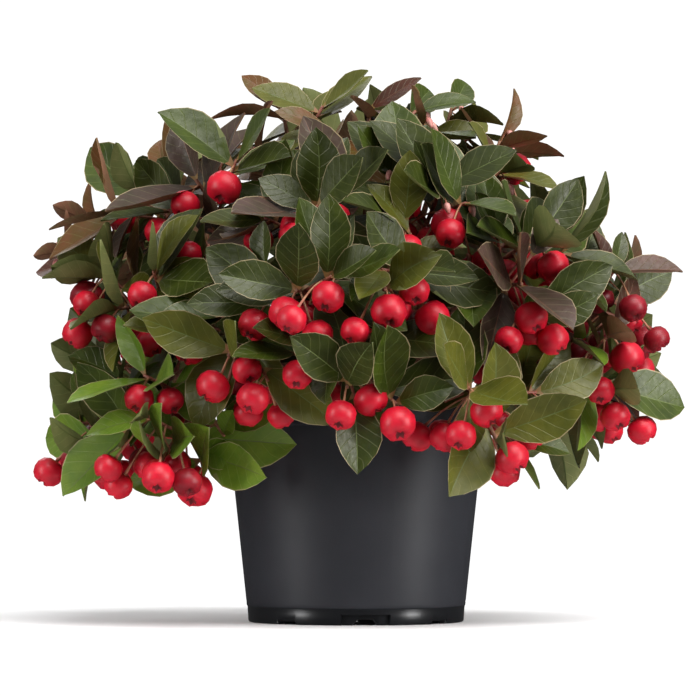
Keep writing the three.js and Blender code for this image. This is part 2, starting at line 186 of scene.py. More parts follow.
lens = bpy.data.cameras.new("camera")
lens.sensor_width = SENSOR
lens.lens = SENSOR * (LOOK_AT - STAND).length / VIEW_WIDTH
camera = bpy.data.objects.new("camera", lens)
camera.location = STAND
camera.rotation_euler = (LOOK_AT - STAND).to_track_quat("-Z", "Y").to_euler()
bpy.context.scene.collection.objects.link(camera)
bpy.context.scene.camera = camera
print("lens", round(lens.lens, 1), "mm")

# %% [markdown]
# The object is photographed on pure white, yet its leaves keep deep shadows and the pot is nearly black at
# its edges. So the room looks white only where the camera sees it directly. As a light it is weak, and
# almost dark at eye level, like a studio hung with black cloth below a white ceiling. A broad soft sun,
# high in front, lights the leaves and the floor.
# Two tall soft boxes stand far out on both sides, reach below the height of the board, and draw the
# upright sheens on the pot. A weak one behind keeps the back readable.

# %% The studio
ROOM = {"colour": "#ffffff", "seen": 1.1, "ceiling": 0.5, "wall": 0.05, "ceiling_from": 0.75}
SUN = {"strength": 3.5, "breadth": 50, "from": (0.35, -0.6, 1.2)}
SOFT_BOXES = (
    {"name": "right_box", "at": (1.7, -0.95, 0.35), "size": (0.45, 1.5), "power": 34},
    {"name": "left_box", "at": (-1.7, -0.95, 0.35), "size": (0.45, 1.5), "power": 23},
    {"name": "back_box", "at": (-0.5, 1.8, 1.4), "size": (1.2, 1.0), "power": 9},
)
AIM = Vector((0.0, 0.0, 0.1))

world = bpy.data.worlds.new("white_room")
world.use_nodes = True
tree = world.node_tree
air = tree.nodes["Background"]
way = put(tree, "ShaderNodeTexCoord", output="Generated")
height = put(tree, SPLIT, {"Vector": way}, output="Z")
rise = {"From Max": ROOM["ceiling_from"], "To Min": ROOM["wall"], "To Max": ROOM["ceiling"]}
fill = put(tree, RANGE, {"Value": height, **rise})
seen = put(tree, "ShaderNodeLightPath", output="Is Camera Ray")
seen = put(tree, MATH, [seen, ROOM["seen"]], operation="MULTIPLY")
strength = put(tree, MATH, [fill, seen], operation="MAXIMUM")
connect(tree, air, {"Color": linear(ROOM["colour"]), "Strength": strength})
bpy.context.scene.world = world
bpy.context.scene.view_settings.view_transform = "Standard"


def hang(name, kind, place, power):
    """One lamp, turned to face the plant."""
    light = bpy.data.lights.new(name, kind)
    light.energy = power
    lamp = bpy.data.objects.new(name, light)
    lamp.location = place
    lamp.rotation_euler = (AIM - lamp.location).to_track_quat("-Z", "Y").to_euler()
    bpy.context.scene.collection.objects.link(lamp)
    return light


hang("sun", "SUN", SUN["from"], SUN["strength"]).angle = math.radians(SUN["breadth"])
for box in SOFT_BOXES:
    light = hang(box["name"], "AREA", box["at"], box["power"])
    light.shape = "RECTANGLE"
    light.size, light.size_y = box["size"]

# %% [markdown]
# The floor is a round sheet of white board on which the pot stands. The sun lights it to pure white, so
# that its edge can't be told from the room. It is kept small, because a wide one would shine up at the pot
# from all round and bleach its dark sides. For the same reason mirror rays pass it by: the photographed
# pot shows only its two soft boxes.

# %% The floor
FLOOR = {"first_ring": 1.0, "radius": 280.0, "rings": 8, "sides": 96}

board, tree, shader, spot = start_material("white board", roughness=0.9, ior=1.5)
grain = put(tree, NOISE, sized(spot, 40))
white = put(tree, MIX, {"Factor": grain, 6: linear("#fafafa"), 7: linear("#fcfcfc")}, **COLOURS)
connect(tree, shader, {"Base Color": white, "Specular IOR Level": 0.2})


def turns_of(count):
    """Angles that divide a full turn evenly, in radians."""
    return np.arange(count) * 2 * np.pi / count


reach = np.linspace(FLOOR["first_ring"], FLOOR["radius"], FLOOR["rings"])
turn = turns_of(FLOOR["sides"])
ring = np.stack([np.cos(turn), np.sin(turn), 0 * turn], axis=-1)
floor_points = (reach[:, None, None] * ring).reshape(-1, 3)
floor_faces = ring_grid(FLOOR["rings"], FLOOR["sides"])[:, ::-1]
floor = build_piece("floor", floor_points, floor_faces, [board])
floor.visible_glossy = False

# %% [markdown]
# Now the growth rule. A main stem bows up from the rootstock to the tip of its mass, and each shoot ends
# in a whorl of leaves that face between the way it grows, the way out of the crown, and the light. The
# sizes are those of the solids, in millimetres, so nearly all of their leaves stand in the same places.

# %% The sizes of stems, leaves and berries
GAP = 0.3
UP = np.array([0.0, 0.0, 1.0])
GOLDEN_TURN = 137.5
SOIL = {"top": 92, "crown": 2.5}
ROOTSTOCK = {"radius": 19, "height": 12}
STEM = {
    "sunk": 0.9,
    "flattest": 24,
    "steepest": 82,
    "bend_out": 0.5,
    "bend_height": 150,
    "join_at": 0.7,
    "foot_radius": 1.75,
    "join_radius": 1.25,
    "tip_radius": 0.85,
    "twig_sides": 3,
    "twig_steps": 3,
}
SHOOTS = 3
SIDE_SHOOT = {
    "length": 27,
    "length_spread": 8,
    "first_at": 0.12,
    "last_at": 0.74,
    "fan": 56,
    "turn_spread": 30,
    "rise": 0.28,
    "foot_radius": 0.8,
    "tip_radius": 0.75,
    "root_share": 0.2,
}
WHORL = {"along": 0.45, "outward": 0.55, "up": 0.42}
LEAF = {
    "count": 5,
    "length": 41,
    "length_spread": 10,
    "first_share": 0.8,
    "width_share": 0.54,
    "thickness": 0.7,
    "keel_at": 0.5,
    "widest": 0.36,
    "shoulder": 0.74,
    "shoulder_share": 0.8,
    "fold": 0.3,
    "curl": 0.03,
    "first": 1,
    "spacing": 2.6,
    "first_opening": 34,
    "opening_step": 13,
    "opening_spread": 16,
    "turn_spread": 30,
    "sag": 0.14,
    "root_share": 0.14,
}
BERRY = {
    "radius": 7.3,
    "radius_spread": 1.4,
    "flatness": 0.9,
    "facet_share": 1.08,
    "sunk": 0.8,
    "lean": 0.3,
    "stalk": 0.55,
    "first": 3,
    "spacing": 3,
    "fan": 62,
    "out": 9,
    "out_step": 1.5,
    "drop": 4,
    "lower": 5,
    "again_out": 5,
    "again_lower": 4,
    "root_share": 0.35,
}
FARTHEST_BACK = 0.8
REACH = {"side": 150, "depth": 140, "top": 252, "bottom": 44, "lowest_twig": 64}
TRY = {"count": 12, "turn": 21, "levels": 3, "lift": 7, "shrink": 0.015}
SEEDS_A_MASS = 16

# %% [markdown]
# Every mass keeps its tip, turn, size and berries from the solids. Three things are added here. more is how
# many finer shoots it gets, fewer where sky shows through the top of the crown. fruit is how many more
# berries it bears. tints names the leaf colours its sprays are dealt: cold nights turn the outer and upper
# leaves bronze and plum.

# %% The masses of foliage


def mass(name, at, turn, size, berries, more, fruit, tints):
    """One mass of foliage: its main stem's tip, and what grows round it."""
    own = dict(name=name, at=np.array(at, float), turn=turn, size=size, berries=berries)
    return own | dict(more=more, fruit=fruit, tints=tints.split())


MASSES = [
    mass("top_left", (-34, -4, 236), 150, 0.86, 0, 1, 0, "bronze olive maroon"),
    mass("top_middle", (6, -10, 236), 40, 0.82, 0, 1, 0, "bronze green maroon"),
    mass("top_right", (44, 4, 236), 20, 0.86, 0, 1, 0, "green bronze olive"),
    mass("crest_right", (66, -14, 220), 75, 0.85, 1, 2, 2, "green olive bronze"),
    mass("left_crest", (-72, -52, 200), 110, 1, 3, 3, 2, "plum deep green"),
    mass("left_shoulder", (-100, -26, 196), 30, 1, 1, 3, 0, "plum bronze green"),
    mass("centre_high", (-24, -84, 188), 80, 1.05, 3, 5, 4, "deep green plum"),
    mass("right_high", (38, -70, 196), 10, 1.05, 2, 5, 6, "olive deep green"),
    mass("right_shoulder", (78, -56, 172), 55, 1.1, 2, 5, 10, "olive deep green"),
    mass("far_left", (-122, 4, 184), 0, 0.7, 0, 2, 0, "bronze maroon olive"),
    mass("left_middle", (-108, -54, 142), 250, 0.95, 3, 5, 5, "green olive deep"),
    mass("centre_front", (-26, -114, 148), 75, 1.05, 4, 5, 6, "deep green deep"),
    mass("right_front", (24, -104, 158), 320, 1, 4, 5, 6, "green deep olive"),
    mass("right_middle", (73, -84, 152), 140, 1.05, 4, 5, 6, "deep green plum"),
    mass("far_right", (119, -20, 146), 35, 0.95, 4, 4, 9, "plum deep maroon"),
    mass("skirt_far_left", (-120, -38, 80), 60, 1, 2, 4, 10, "green fresh green"),
    mass("skirt_left", (-86, -78, 74), 345, 1, 4, 4, 14, "fresh green fresh"),
    mass("skirt_front_left", (-56, -98, 120), 30, 1, 4, 5, 6, "deep green olive"),
    mass("skirt_front", (-4, -112, 106), 50, 1, 4, 5, 4, "green deep deep"),
    mass("skirt_right", (62, -94, 82), 220, 1, 4, 4, 9, "green olive green"),
    mass("skirt_far_right", (114, -46, 106), 170, 1, 3, 4, 6, "fresh maroon green"),
    mass("back_top", (4, 58, 216), 240, 1, 1, 7, 3, "deep bronze green"),
    mass("back_left", (-86, 66, 168), 325, 1.1, 1, 7, 6, "plum deep green"),
    mass("back_right", (86, 66, 168), 130, 1.1, 1, 7, 6, "deep olive green"),
    mass("back_middle", (6, 108, 162), 95, 1.1, 1, 7, 7, "deep green plum"),
    mass("back_skirt", (-4, 107, 92), 190, 1.1, 3, 11, 8, "green deep olive"),
    mass("side_left", (-106, 56, 106), 100, 1.1, 2, 11, 7, "deep olive green"),
    mass("side_right", (108, 54, 104), 20, 1.1, 2, 11, 7, "deep green olive"),
]

# %% [markdown]
# The same seed always gives the same run of numbers, in Python as in the program that drew the solids, so
# both start from the same chances. The small functions here are the rule's own words: a direction that
# leans from an axis, a stem's bow, and the way that a whorl faces.

# %% Directions, chances and curves
CHANCE = {"span": 2**32, "spread": 2654435761, "factor": 1664525, "step": 1013904223}


def seeded(seed):
    """A linear congruential generator of numbers between 0 and 1.

    Each state is the last one times a factor, plus a step, and its remainder in the span is kept.
    """
    state = seed * CHANCE["spread"] % CHANCE["span"]
    while True:
        state = (state * CHANCE["factor"] + CHANCE["step"]) % CHANCE["span"]
        yield state / CHANCE["span"]


def stray(drawn, width):
    """How far a drawn number moves a value either way within its spread."""
    return (drawn - 0.5) * width


def unit(vector):
    """The same direction with length 1."""
    return vector / np.linalg.norm(vector)


def across(direction):
    """Two directions square to a given one, the first of them level."""
    side = unit(np.cross(UP, direction))
    return side, np.cross(direction, side)


def leaning(axis, turn, opening):
    """A direction that leans from an axis by an opening, turned round it, both in degrees."""
    side, over = across(axis)
    turn, opening = math.radians(turn), math.radians(opening)
    level = side * math.cos(turn) + over * math.sin(turn)
    return axis * math.cos(opening) + level * math.sin(opening)


def level_out(point):
    """The level direction from the pot's axis out to a point."""
    return unit(np.array([point[0], point[1], 0.0]))


class Bow:
    """A quadratic curve through its foot and tip, drawn towards its bend."""

    steps = 200

    def __init__(self, foot, bend, tip):
        self.foot, self.bend, self.tip = foot, bend, tip
        line = self.points(np.linspace(0, 1, self.steps + 1))
        self.length = np.linalg.norm(np.diff(line, axis=0), axis=1).sum()

    def points(self, at):
        """Places along the curve, for shares from 0 at the foot to 1 at the tip."""
        at = np.asarray(at, float)[..., None]
        return (1 - at) ** 2 * self.foot + 2 * at * (1 - at) * self.bend + at**2 * self.tip

    def heading(self, at):
        """The way the curve runs at a share of it."""
        return unit((1 - at) * (self.bend - self.foot) + at * (self.tip - self.bend))


def straight(start, end):
    """A line, as a curve whose bend lies halfway."""
    return Bow(start, (start + end) / 2, end)


def stem_curve(at):
    """The bow of a main stem, steep to a high tip and flat to a low one."""
    out = level_out(at)
    steepness = math.atan2(at[2] - SOIL["top"], math.hypot(at[0], at[1])) / (math.pi / 2)
    rise = math.radians(STEM["flattest"] + (STEM["steepest"] - STEM["flattest"]) * steepness)
    bend = np.array([at[0] * STEM["bend_out"], at[1] * STEM["bend_out"], STEM["bend_height"]])
    foot = out * STEM["sunk"] * ROOTSTOCK["radius"] * math.cos(rise)
    foot[2] = SOIL["top"] + STEM["sunk"] * ROOTSTOCK["height"] * math.sin(rise)
    return Bow(foot, bend, at)


def whorl_axis(along, tip):
    """The way a whorl faces: between the way its shoot grows, the way out of the crown, and up."""
    return unit(along * WHORL["along"] + level_out(tip) * WHORL["outward"] + UP * WHORL["up"])


# %% [markdown]
# Nothing in a real crown passes through anything else, so each new twig, berry and leaf is tried as a
# plain stand-in against all that stands already. Blender's BVH trees find crossing triangles quickly. A
# piece keeps its whole self clear of other masses, and its free part clear of its own mass. The solids
# were tested by another program, and the two don't always agree: 24 of the first 328 leaves and 3 of the
# first 63 berries stand elsewhere here than in the solids.

# %% Plain stand-ins for trying a place
BLADE = np.array([5, 0, 1, 5, 1, 3, 5, 4, 2, 5, 2, 0, 6, 1, 0, 6, 3, 1, 6, 5, 3, 6, 4, 5, 6, 2, 4, 6, 0, 2])
BLADE = BLADE.reshape(-1, 3)


def blade(leaf, grown, start=0.0):
    """A leaf's ten flat faces: its ends, widest points, shoulders and keel, thickened by grown."""
    root, along, face, length, width = leaf
    half = width / 2 + grown
    shoulder = half * LEAF["shoulder_share"]
    edge = LEAF["fold"] * half + grown
    curled = LEAF["fold"] * shoulder - LEAF["curl"] * length + grown
    widest, shoulder_at = LEAF["widest"], LEAF["shoulder"]
    x = np.array([start, widest, widest, shoulder_at, shoulder_at, 1, LEAF["keel_at"]])
    x = x * length + np.array([0, 0, 0, 0, 0, grown, 0])
    y = np.array([0, -half, half, -shoulder, shoulder, 0, 0])
    z = np.array([grown, edge, edge, curled, curled, grown, -LEAF["thickness"] - grown])
    side = np.cross(face, along)
    return root + x[:, None] * along + y[:, None] * side + z[:, None] * face, BLADE


def rod(curve, start, foot_radius, tip_radius, steps=1):
    """A three-sided twig along a stretch of a curve, with its ends closed."""
    sides = STEM["twig_sides"]
    middle, _ = across(curve.heading((start + 1) / 2))
    turn = turns_of(sides)
    rings = []
    for at in np.linspace(start, 1, steps + 1):
        along = curve.heading(at)
        left = unit(middle - along * (middle @ along))
        over = np.cross(left, along)
        share = (at - start) / (1 - start)
        radius = foot_radius + (tip_radius - foot_radius) * share
        out = np.sin(turn)[:, None] * left + np.cos(turn)[:, None] * over
        rings.append(curve.points(at) + radius * out)
    quads = ring_grid(steps + 1, sides)
    ends = np.array([[0, 1, 2], [-3, -2, -1]]) % (sides * (steps + 1))
    return np.concatenate(rings), np.concatenate([quads[:, [0, 1, 2]], quads[:, [0, 2, 3]], ends])


JUST_OVER_AN_EDGE = 2.1


def icosahedron():
    """Twelve corners from three golden rectangles, and a face on every three that are neighbours.

    The rectangles are 2 wide, and neighbours lie just as far apart.
    """
    golden = (1 + math.sqrt(5)) / 2
    flat = np.array([(0, a, b * golden) for a in (-1, 1) for b in (-1, 1)])
    corners = np.concatenate([np.roll(flat, shift, axis=1) for shift in range(3)])
    near = np.linalg.norm(corners[:, None] - corners[None], axis=2) < JUST_OVER_AN_EDGE
    trios = [(i, j, k) for i in range(len(corners)) for j in range(i) for k in range(j)]
    faces = np.array([(i, j, k) for i, j, k in trios if near[i, j] and near[j, k] and near[i, k]])
    return corners / np.linalg.norm(corners[0]), faces


BALL_POINTS, BALL_FACES = icosahedron()


def ball(centre, stalk_side, radius):
    """A berry's twenty faces, turned so that one of them meets its stalk.

    The turn takes the middle of the first face to the stalk's side, round the direction square to both.
    """
    middle = unit(np.ones(3))
    normal, cosine = np.cross(middle, stalk_side), middle @ stalk_side
    skew = np.cross(np.eye(3), normal)
    turned = np.eye(3) - skew + skew @ skew / (1 + cosine)
    points = BALL_POINTS @ turned.T * radius * BERRY["facet_share"]
    return points * [1, 1, BERRY["flatness"]] + centre, BALL_FACES


def together(*shapes):
    """Several stand-ins as one."""
    starts = np.cumsum([0] + [len(points) for points, _ in shapes])
    faces = [faces + start for (_, faces), start in zip(shapes, starts)]
    return np.concatenate([points for points, _ in shapes]), np.concatenate(faces)


# %% [markdown]
# Testing every new leaf against all others would be slow. So each thing that stands keeps its box, the
# boxes of all are compared at once, and only the few that overlap are tested face by face. The pot, the
# peat, the rootstock and the boughs stand there from the start.

# %% What stands in the crown so far
MOST_STANDING = 6000
standing = []
boxes = np.zeros((MOST_STANDING, 2, 3))


def tree_of(shape):
    """A search tree over the faces of a stand-in."""
    return BVHTree.FromPolygons(shape[0].tolist(), shape[1].tolist(), all_triangles=True)


def is_clear(whole, free, owner):
    """Whether a stand-in's whole self misses other masses, and its free part misses its own mass."""
    low, high = whole[0].min(axis=0), whole[0].max(axis=0)
    taken = boxes[: len(standing)]
    near = np.flatnonzero(((taken[:, 0] <= high) & (taken[:, 1] >= low)).all(axis=1))
    if not len(near):
        return True
    whole_tree, free_tree = tree_of(whole), tree_of(free)
    for i in near:
        other_whole, other_free, other_owner = standing[i]
        mine, other = (free_tree, other_free) if other_owner is owner else (whole_tree, other_whole)
        if mine.overlap(other):
            return False
    return True


def stand(whole, free, owner):
    """Notes that something stands, for all that is tried later."""
    boxes[len(standing)] = whole[0].min(axis=0), whole[0].max(axis=0)
    standing.append((tree_of(whole), tree_of(free), owner))


def solid_shape(node):
    """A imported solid's points and triangles, in millimetres."""
    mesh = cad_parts[node].data
    points = np.empty(len(mesh.vertices) * 3)
    mesh.vertices.foreach_get("co", points)
    faces = np.empty(len(mesh.polygons) * 3, np.int32)
    mesh.polygons.foreach_get("vertices", faces)
    return points.reshape(-1, 3) / MM, faces.reshape(-1, 3)


for node in ["pot", "soil", "rootstock"] + ["bough_" + one["name"] for one in MASSES]:
    shape = solid_shape(node)
    stand(shape, shape, None)
print("standing at the start", len(standing))

# %% [markdown]
# Shoots come first. A mass has the end of its main stem and side shoots that fan round it. A shoot knows
# its whorl's axis, its own run of chances, and how many leaves and berries it may carry.

# %% Grow the shoots
shoots = []
twig_lines = []


def add_shoot(owner, curve, turn, seed, leaves, berries):
    """A shoot that may carry so many leaves and berries, and has been given none so far."""
    axis = whorl_axis(curve.heading(1.0), curve.tip)
    shoot = dict(owner=owner, curve=curve, turn=turn, axis=axis, random=seeded(seed))
    shoot.update(leaves=leaves, berries=berries, had_leaves=0, had_berries=0)
    shoots.append(shoot)


def grow_side_shoot(owner, main, at, side, length, spin):
    """A side twig from a place on the main stem, turned on until it is clear.

    Gives its curve and turn, or None where no turn is clear.
    """
    start = main.points(at)
    sizes = SIDE_SHOOT["foot_radius"], SIDE_SHOOT["tip_radius"]
    for attempt in range(TRY["count"]):
        turn = owner["turn"] + side * GOLDEN_TURN + (spin + attempt * TRY["turn"])
        along = unit(leaning(main.heading(at), turn, SIDE_SHOOT["fan"]) + UP * SIDE_SHOOT["rise"])
        curve = straight(start, start + along * length)
        whole, free = rod(curve, 0, *sizes), rod(curve, SIDE_SHOOT["root_share"], *sizes)
        if curve.tip[2] > REACH["lowest_twig"] and is_clear(whole, free, owner):
            stand(whole, free, owner)
            twig_lines.append(curve)
            return curve, turn
    return None


def grow_shoots(owner, seed):
    """A mass's main shoot and its first side shoots, as in the solids."""
    random = seeded(seed + 1)
    main = stem_curve(owner["at"])
    owner["main"] = main
    stem = rod(main, STEM["join_at"], STEM["join_radius"], STEM["tip_radius"], STEM["twig_steps"])
    stand(stem, stem, owner)
    grown = [(main, owner["turn"], seed + 2)]
    for side in range(1, SHOOTS):
        length = SIDE_SHOOT["length"] + stray(next(random), SIDE_SHOOT["length_spread"])
        spin = stray(next(random), SIDE_SHOOT["turn_spread"])
        share = SIDE_SHOOT["first_at"] + (SIDE_SHOOT["last_at"] - SIDE_SHOOT["first_at"]) * side / SHOOTS
        at = STEM["join_at"] + (1 - STEM["join_at"]) * share
        found = grow_side_shoot(owner, main, at, side, length, spin)
        if found:
            grown.append((*found, seed + 2 + side))
    for i, (curve, turn, own_seed) in enumerate(grown):
        share_of_berries = math.ceil((owner["berries"] - i) / len(grown))
        add_shoot(owner, curve, turn, own_seed, LEAF["count"] - (i > 0), share_of_berries)


for index, owner in enumerate(MASSES):
    grow_shoots(owner, index * SEEDS_A_MASS)
print("shoots of the solids", len(shoots))

# %% [markdown]
# Berries take their places before the leaves, so that leaves grow round them and not through them. Then
# the leaves come rank by rank all round the crown, the first rank close round each tip and the next ones
# opening wider below it, each a golden turn on from the last.

# %% Grow the berries and the leaves
berries = []
leaves = []


def behind_tip(shoot, distance):
    """A place on a shoot at a distance back from its tip."""
    return shoot["curve"].points(1 - min(FARTHEST_BACK, distance / shoot["curve"].length))


def swing(attempt):
    """Each new attempt turns a little farther, to one side and the other by turns."""
    return (1 if attempt % 2 else -1) * math.ceil(attempt / 2) * TRY["turn"]


def in_reach(root, along, length):
    """Whether a leaf's tip stays in the box that the whole plant may fill."""
    tip = root + along * length
    level = abs(tip[0]) <= REACH["side"] and abs(tip[1]) <= REACH["depth"]
    return level and REACH["bottom"] <= tip[2] <= REACH["top"]


def grow_leaf(shoot, rank, share=1.0):
    """Tries a leaf of one rank on a shoot, and keeps the first place that is free."""
    random, owner = shoot["random"], shoot["owner"]
    draw_turn, draw_opening, draw_length = next(random), next(random), next(random)
    root = behind_tip(shoot, LEAF["first"] + rank * LEAF["spacing"])
    for attempt in range(TRY["count"]):
        turn = shoot["turn"] + rank * GOLDEN_TURN + stray(draw_turn, LEAF["turn_spread"]) + swing(attempt)
        lift = attempt % TRY["levels"] * TRY["lift"] + stray(draw_opening, LEAF["opening_spread"])
        opening = LEAF["first_opening"] + rank * LEAF["opening_step"] + lift
        along = unit(leaning(shoot["axis"], turn, opening) - UP * LEAF["sag"])
        face = unit(shoot["axis"] - along * (shoot["axis"] @ along))
        size = owner["size"] * (1 if rank else LEAF["first_share"]) * (1 - attempt * TRY["shrink"]) * share
        length = (LEAF["length"] + stray(draw_length, LEAF["length_spread"])) * size
        leaf = root, along, face, length, length * LEAF["width_share"]
        whole, free = blade(leaf, GAP), blade(leaf, GAP, LEAF["root_share"])
        if in_reach(root, along, length) and is_clear(whole, free, owner):
            stand(whole, free, owner)
            leaves.append((shoot, leaf))
            return


def grow_berry(shoot, rank, share=1.0, rounds=1):
    """Tries a berry of one rank on a shoot, hung outward and down on its stalk.

    Each further round of tries, where more than one is allowed, hangs it farther out and lower.
    """
    random, owner = shoot["random"], shoot["owner"]
    draw_turn, draw_size = next(random), next(random)
    radius = (BERRY["radius"] + stray(draw_size, BERRY["radius_spread"])) * share
    root = behind_tip(shoot, BERRY["first"] + rank * BERRY["spacing"])
    side = (1 if rank % 2 else -1) * math.ceil(rank / 2)
    for attempt in range(TRY["count"] * rounds):
        again, attempt = divmod(attempt, TRY["count"])
        turn = math.radians((side + stray(draw_turn, 1)) * BERRY["fan"] - swing(attempt))
        cosine, sine = math.cos(turn), math.sin(turn)
        out = np.array([[cosine, -sine], [sine, cosine]]) @ level_out(root)[:2]
        out = np.array([*out, 0.0])
        drop = BERRY["drop"] + attempt % TRY["levels"] * BERRY["lower"] + again * BERRY["again_lower"]
        away = BERRY["out"] + rank * BERRY["out_step"] + again * BERRY["again_out"]
        crown = root + out * away - UP * drop
        centre = crown - UP * radius * BERRY["sunk"]
        stalk_side = unit(UP - out * BERRY["lean"])
        line = straight(root, crown)
        grown = ball(centre, stalk_side, radius + GAP)
        whole = together(grown, rod(line, 0, BERRY["stalk"], BERRY["stalk"]))
        free = together(grown, rod(line, BERRY["root_share"], BERRY["stalk"], BERRY["stalk"]))
        if is_clear(whole, free, owner):
            stand(whole, free, owner)
            berries.append((shoot, root, centre, out, radius))
            return


def grow_ranks(grow, some, first, last, limit):
    """Grows one rank after another on all the shoots whose own limit allows it."""
    for rank in range(first, last):
        for shoot in some:
            if rank < shoot[limit]:
                grow(shoot, rank)


grow_ranks(grow_berry, shoots, 0, LEAF["count"], "berries")
grow_ranks(grow_leaf, shoots, 0, LEAF["count"], "leaves")
print("by the rule of the solids:", len(leaves), "leaves,", len(berries), "berries")

# %% [markdown]
# The solids hold about half of the leaves that the real plant shows. The rest grow here by the same
# rule: each mass gets finer side shoots, from lower on its main stem too, and every shoot a few more
# leaves and berries wherever there is still room. Nothing leaves the reach of the solids by a millimetre.

# %% Carry the crown on to finer twigs
FINER = {
    "from": 0.5,
    "to": 0.97,
    "length": 21,
    "seed": 7,
    "leaves": 5,
    "more_leaves": 3,
    "leaf_share": 0.86,
    "leaf_spread": 0.46,
    "most_berries": 6,
    "berry_share": 0.92,
    "berry_rounds": 3,
}


def grow_finer(owner, seed):
    """More side shoots, spread from low on the bough to near its tip."""
    random = seeded(seed + FINER["seed"])
    for i in range(owner["more"]):
        length = FINER["length"] + stray(next(random), SIDE_SHOOT["length_spread"])
        spin = stray(next(random), SIDE_SHOOT["turn_spread"])
        at = FINER["from"] + (FINER["to"] - FINER["from"]) * (i + 0.5) / owner["more"]
        found = grow_side_shoot(owner, owner["main"], at, SHOOTS + i, length, spin)
        if found:
            add_shoot(owner, *found, seed + FINER["seed"] + 1 + i, FINER["leaves"], 0)


def outermost_first(owner):
    """A mass's shoots, those whose tips lie farthest from the pot's axis first."""
    own = [shoot for shoot in shoots if shoot["owner"] is owner]
    return sorted(own, key=lambda shoot: -math.hypot(shoot["curve"].tip[0], shoot["curve"].tip[1]))


for shoot in shoots:
    shoot["had_berries"], shoot["had_leaves"] = max(shoot["berries"], 0), shoot["leaves"]
    shoot["leaves"] += FINER["more_leaves"]
for index, owner in enumerate(MASSES):
    grow_finer(owner, index * SEEDS_A_MASS)
    left = owner["fruit"]
    for shoot in outermost_first(owner):
        had = shoot["had_berries"]
        shoot["berries"] = had + max(0, min(FINER["most_berries"] - had, left))
        left -= shoot["berries"] - had

for rank in range(FINER["most_berries"]):
    for shoot in shoots:
        if shoot["had_berries"] <= rank < shoot["berries"]:
            grow_berry(shoot, rank, FINER["berry_share"], FINER["berry_rounds"])
for rank in range(LEAF["count"] + FINER["more_leaves"]):
    for shoot in shoots:
        if shoot["had_leaves"] <= rank < shoot["leaves"]:
            grow_leaf(shoot, rank, FINER["leaf_share"] + stray(next(shoot["random"]), FINER["leaf_spread"]))
print("in all:", len(shoots), "shoots,", len(leaves), "leaves,", len(berries), "berries")

# %% [markdown]
# A real leaf is a blade a third of a millimetre thick, folded along its midrib, with a thin pale margin
# and its flesh quilted between sunken side veins. A picture on a flat card would lose the fold, which
# makes one half bright and the other dark. So every leaf is a closed shell of about sixty faces: six points
# across above, two below along the keel, and rows that slant with the side veins.

# %% The shape of a leaf
ROWS = np.array([0, 0.08, 0.22, 0.4, 0.58, 0.75, 0.9, 1])
COLUMNS = np.array([-1, -0.52, -0.022, 0.022, 0.52, 1, 0.05, -0.05])
BELOW = 6
BLADE_SHAPE = {
    "petiole": 0.55,
    "petiole_share": 0.05,
    "forward": 1.06,
    "fullness": 0.84,
    "slant": 0.09,
    "quilt": 0.25,
    "tip": 0.15,
    "waves": 1.4,
    "edges_apart": 1.3,
    "twist_at": 0.4,
    "thick": 0.75,
    "rib": 0.35,
}
PETIOLE, RIB, UPPER, UNDER = 0, 1, 2, 3


def half_width(share):
    """The outline: a thin petiole, then a power of a half sine wave whose widest part lies forward."""
    along = np.clip((share - BLADE_SHAPE["petiole_share"]) / (1 - BLADE_SHAPE["petiole_share"]), 0, 1)
    return np.sin(np.pi * along ** BLADE_SHAPE["forward"]).clip(0) ** BLADE_SHAPE["fullness"]


def leaf_points(leaves, variety):
    """Every point of every leaf, as one array of leaves, rows and columns.

    Along a leaf x grows with the row, plus a slant that follows the side veins. y is the column's share of
    the outline, plus a sweep to one side. z is the fold of the two halves, an arch from root to tip, the
    quilting of every second row, and a wave of the edge. The columns of the keel lie lower by the leaf's
    thickness. Then each section is turned a little, more towards the tip, which twists the leaf.
    """
    root, along, face, length, width = (np.array(part) for part in zip(*leaves))
    side = np.cross(face, along)
    length, half = length[:, None, None], width[:, None, None] / 2
    row, column = ROWS[None, :, None], COLUMNS[None, None, :]
    hump = 4 * row * (1 - row)
    share = row + BLADE_SHAPE["slant"] * np.abs(column) * hump * (1 - row)
    outline = half * variety["slim"] * half_width(share)
    wide = outline + BLADE_SHAPE["petiole"] * (1 - row) + BLADE_SHAPE["tip"] * row
    y = column * wide + variety["sweep"] * length * hump
    z = variety["fold"] * np.abs(column) * wide + variety["arch"] * length * hump
    swollen = (np.arange(len(ROWS)) % 2)[None, :, None]
    z = z + BLADE_SHAPE["quilt"] * swollen * np.sin(np.pi * np.abs(column)) * hump**0.5
    wave = 2 * np.pi * (BLADE_SHAPE["waves"] * row + variety["phase"])
    ripple = np.sin(wave + np.sign(column) * BLADE_SHAPE["edges_apart"])
    z = z + variety["ripple"] * half * ripple * np.abs(column) * hump
    below = np.arange(len(COLUMNS)) >= BELOW
    z = z - below * (BLADE_SHAPE["thick"] + BLADE_SHAPE["rib"] * (1 - row))
    twist = variety["twist"] * (row - BLADE_SHAPE["twist_at"])
    y, z = y * np.cos(twist) - z * np.sin(twist), y * np.sin(twist) + z * np.cos(twist)
    spots = (share * length)[..., None] * along[:, None, None] + y[..., None] * side[:, None, None]
    spots = spots + z[..., None] * face[:, None, None]
    return root[:, None, None] + spots


# %% [markdown]
# The points of a leaf form a tube pressed flat: from row to row the ring of columns runs over the top and
# back along the keel. Both ends are closed. A leaf shows four surfaces, so each face is told its kind.

# %% The faces of a leaf, and what each is made of


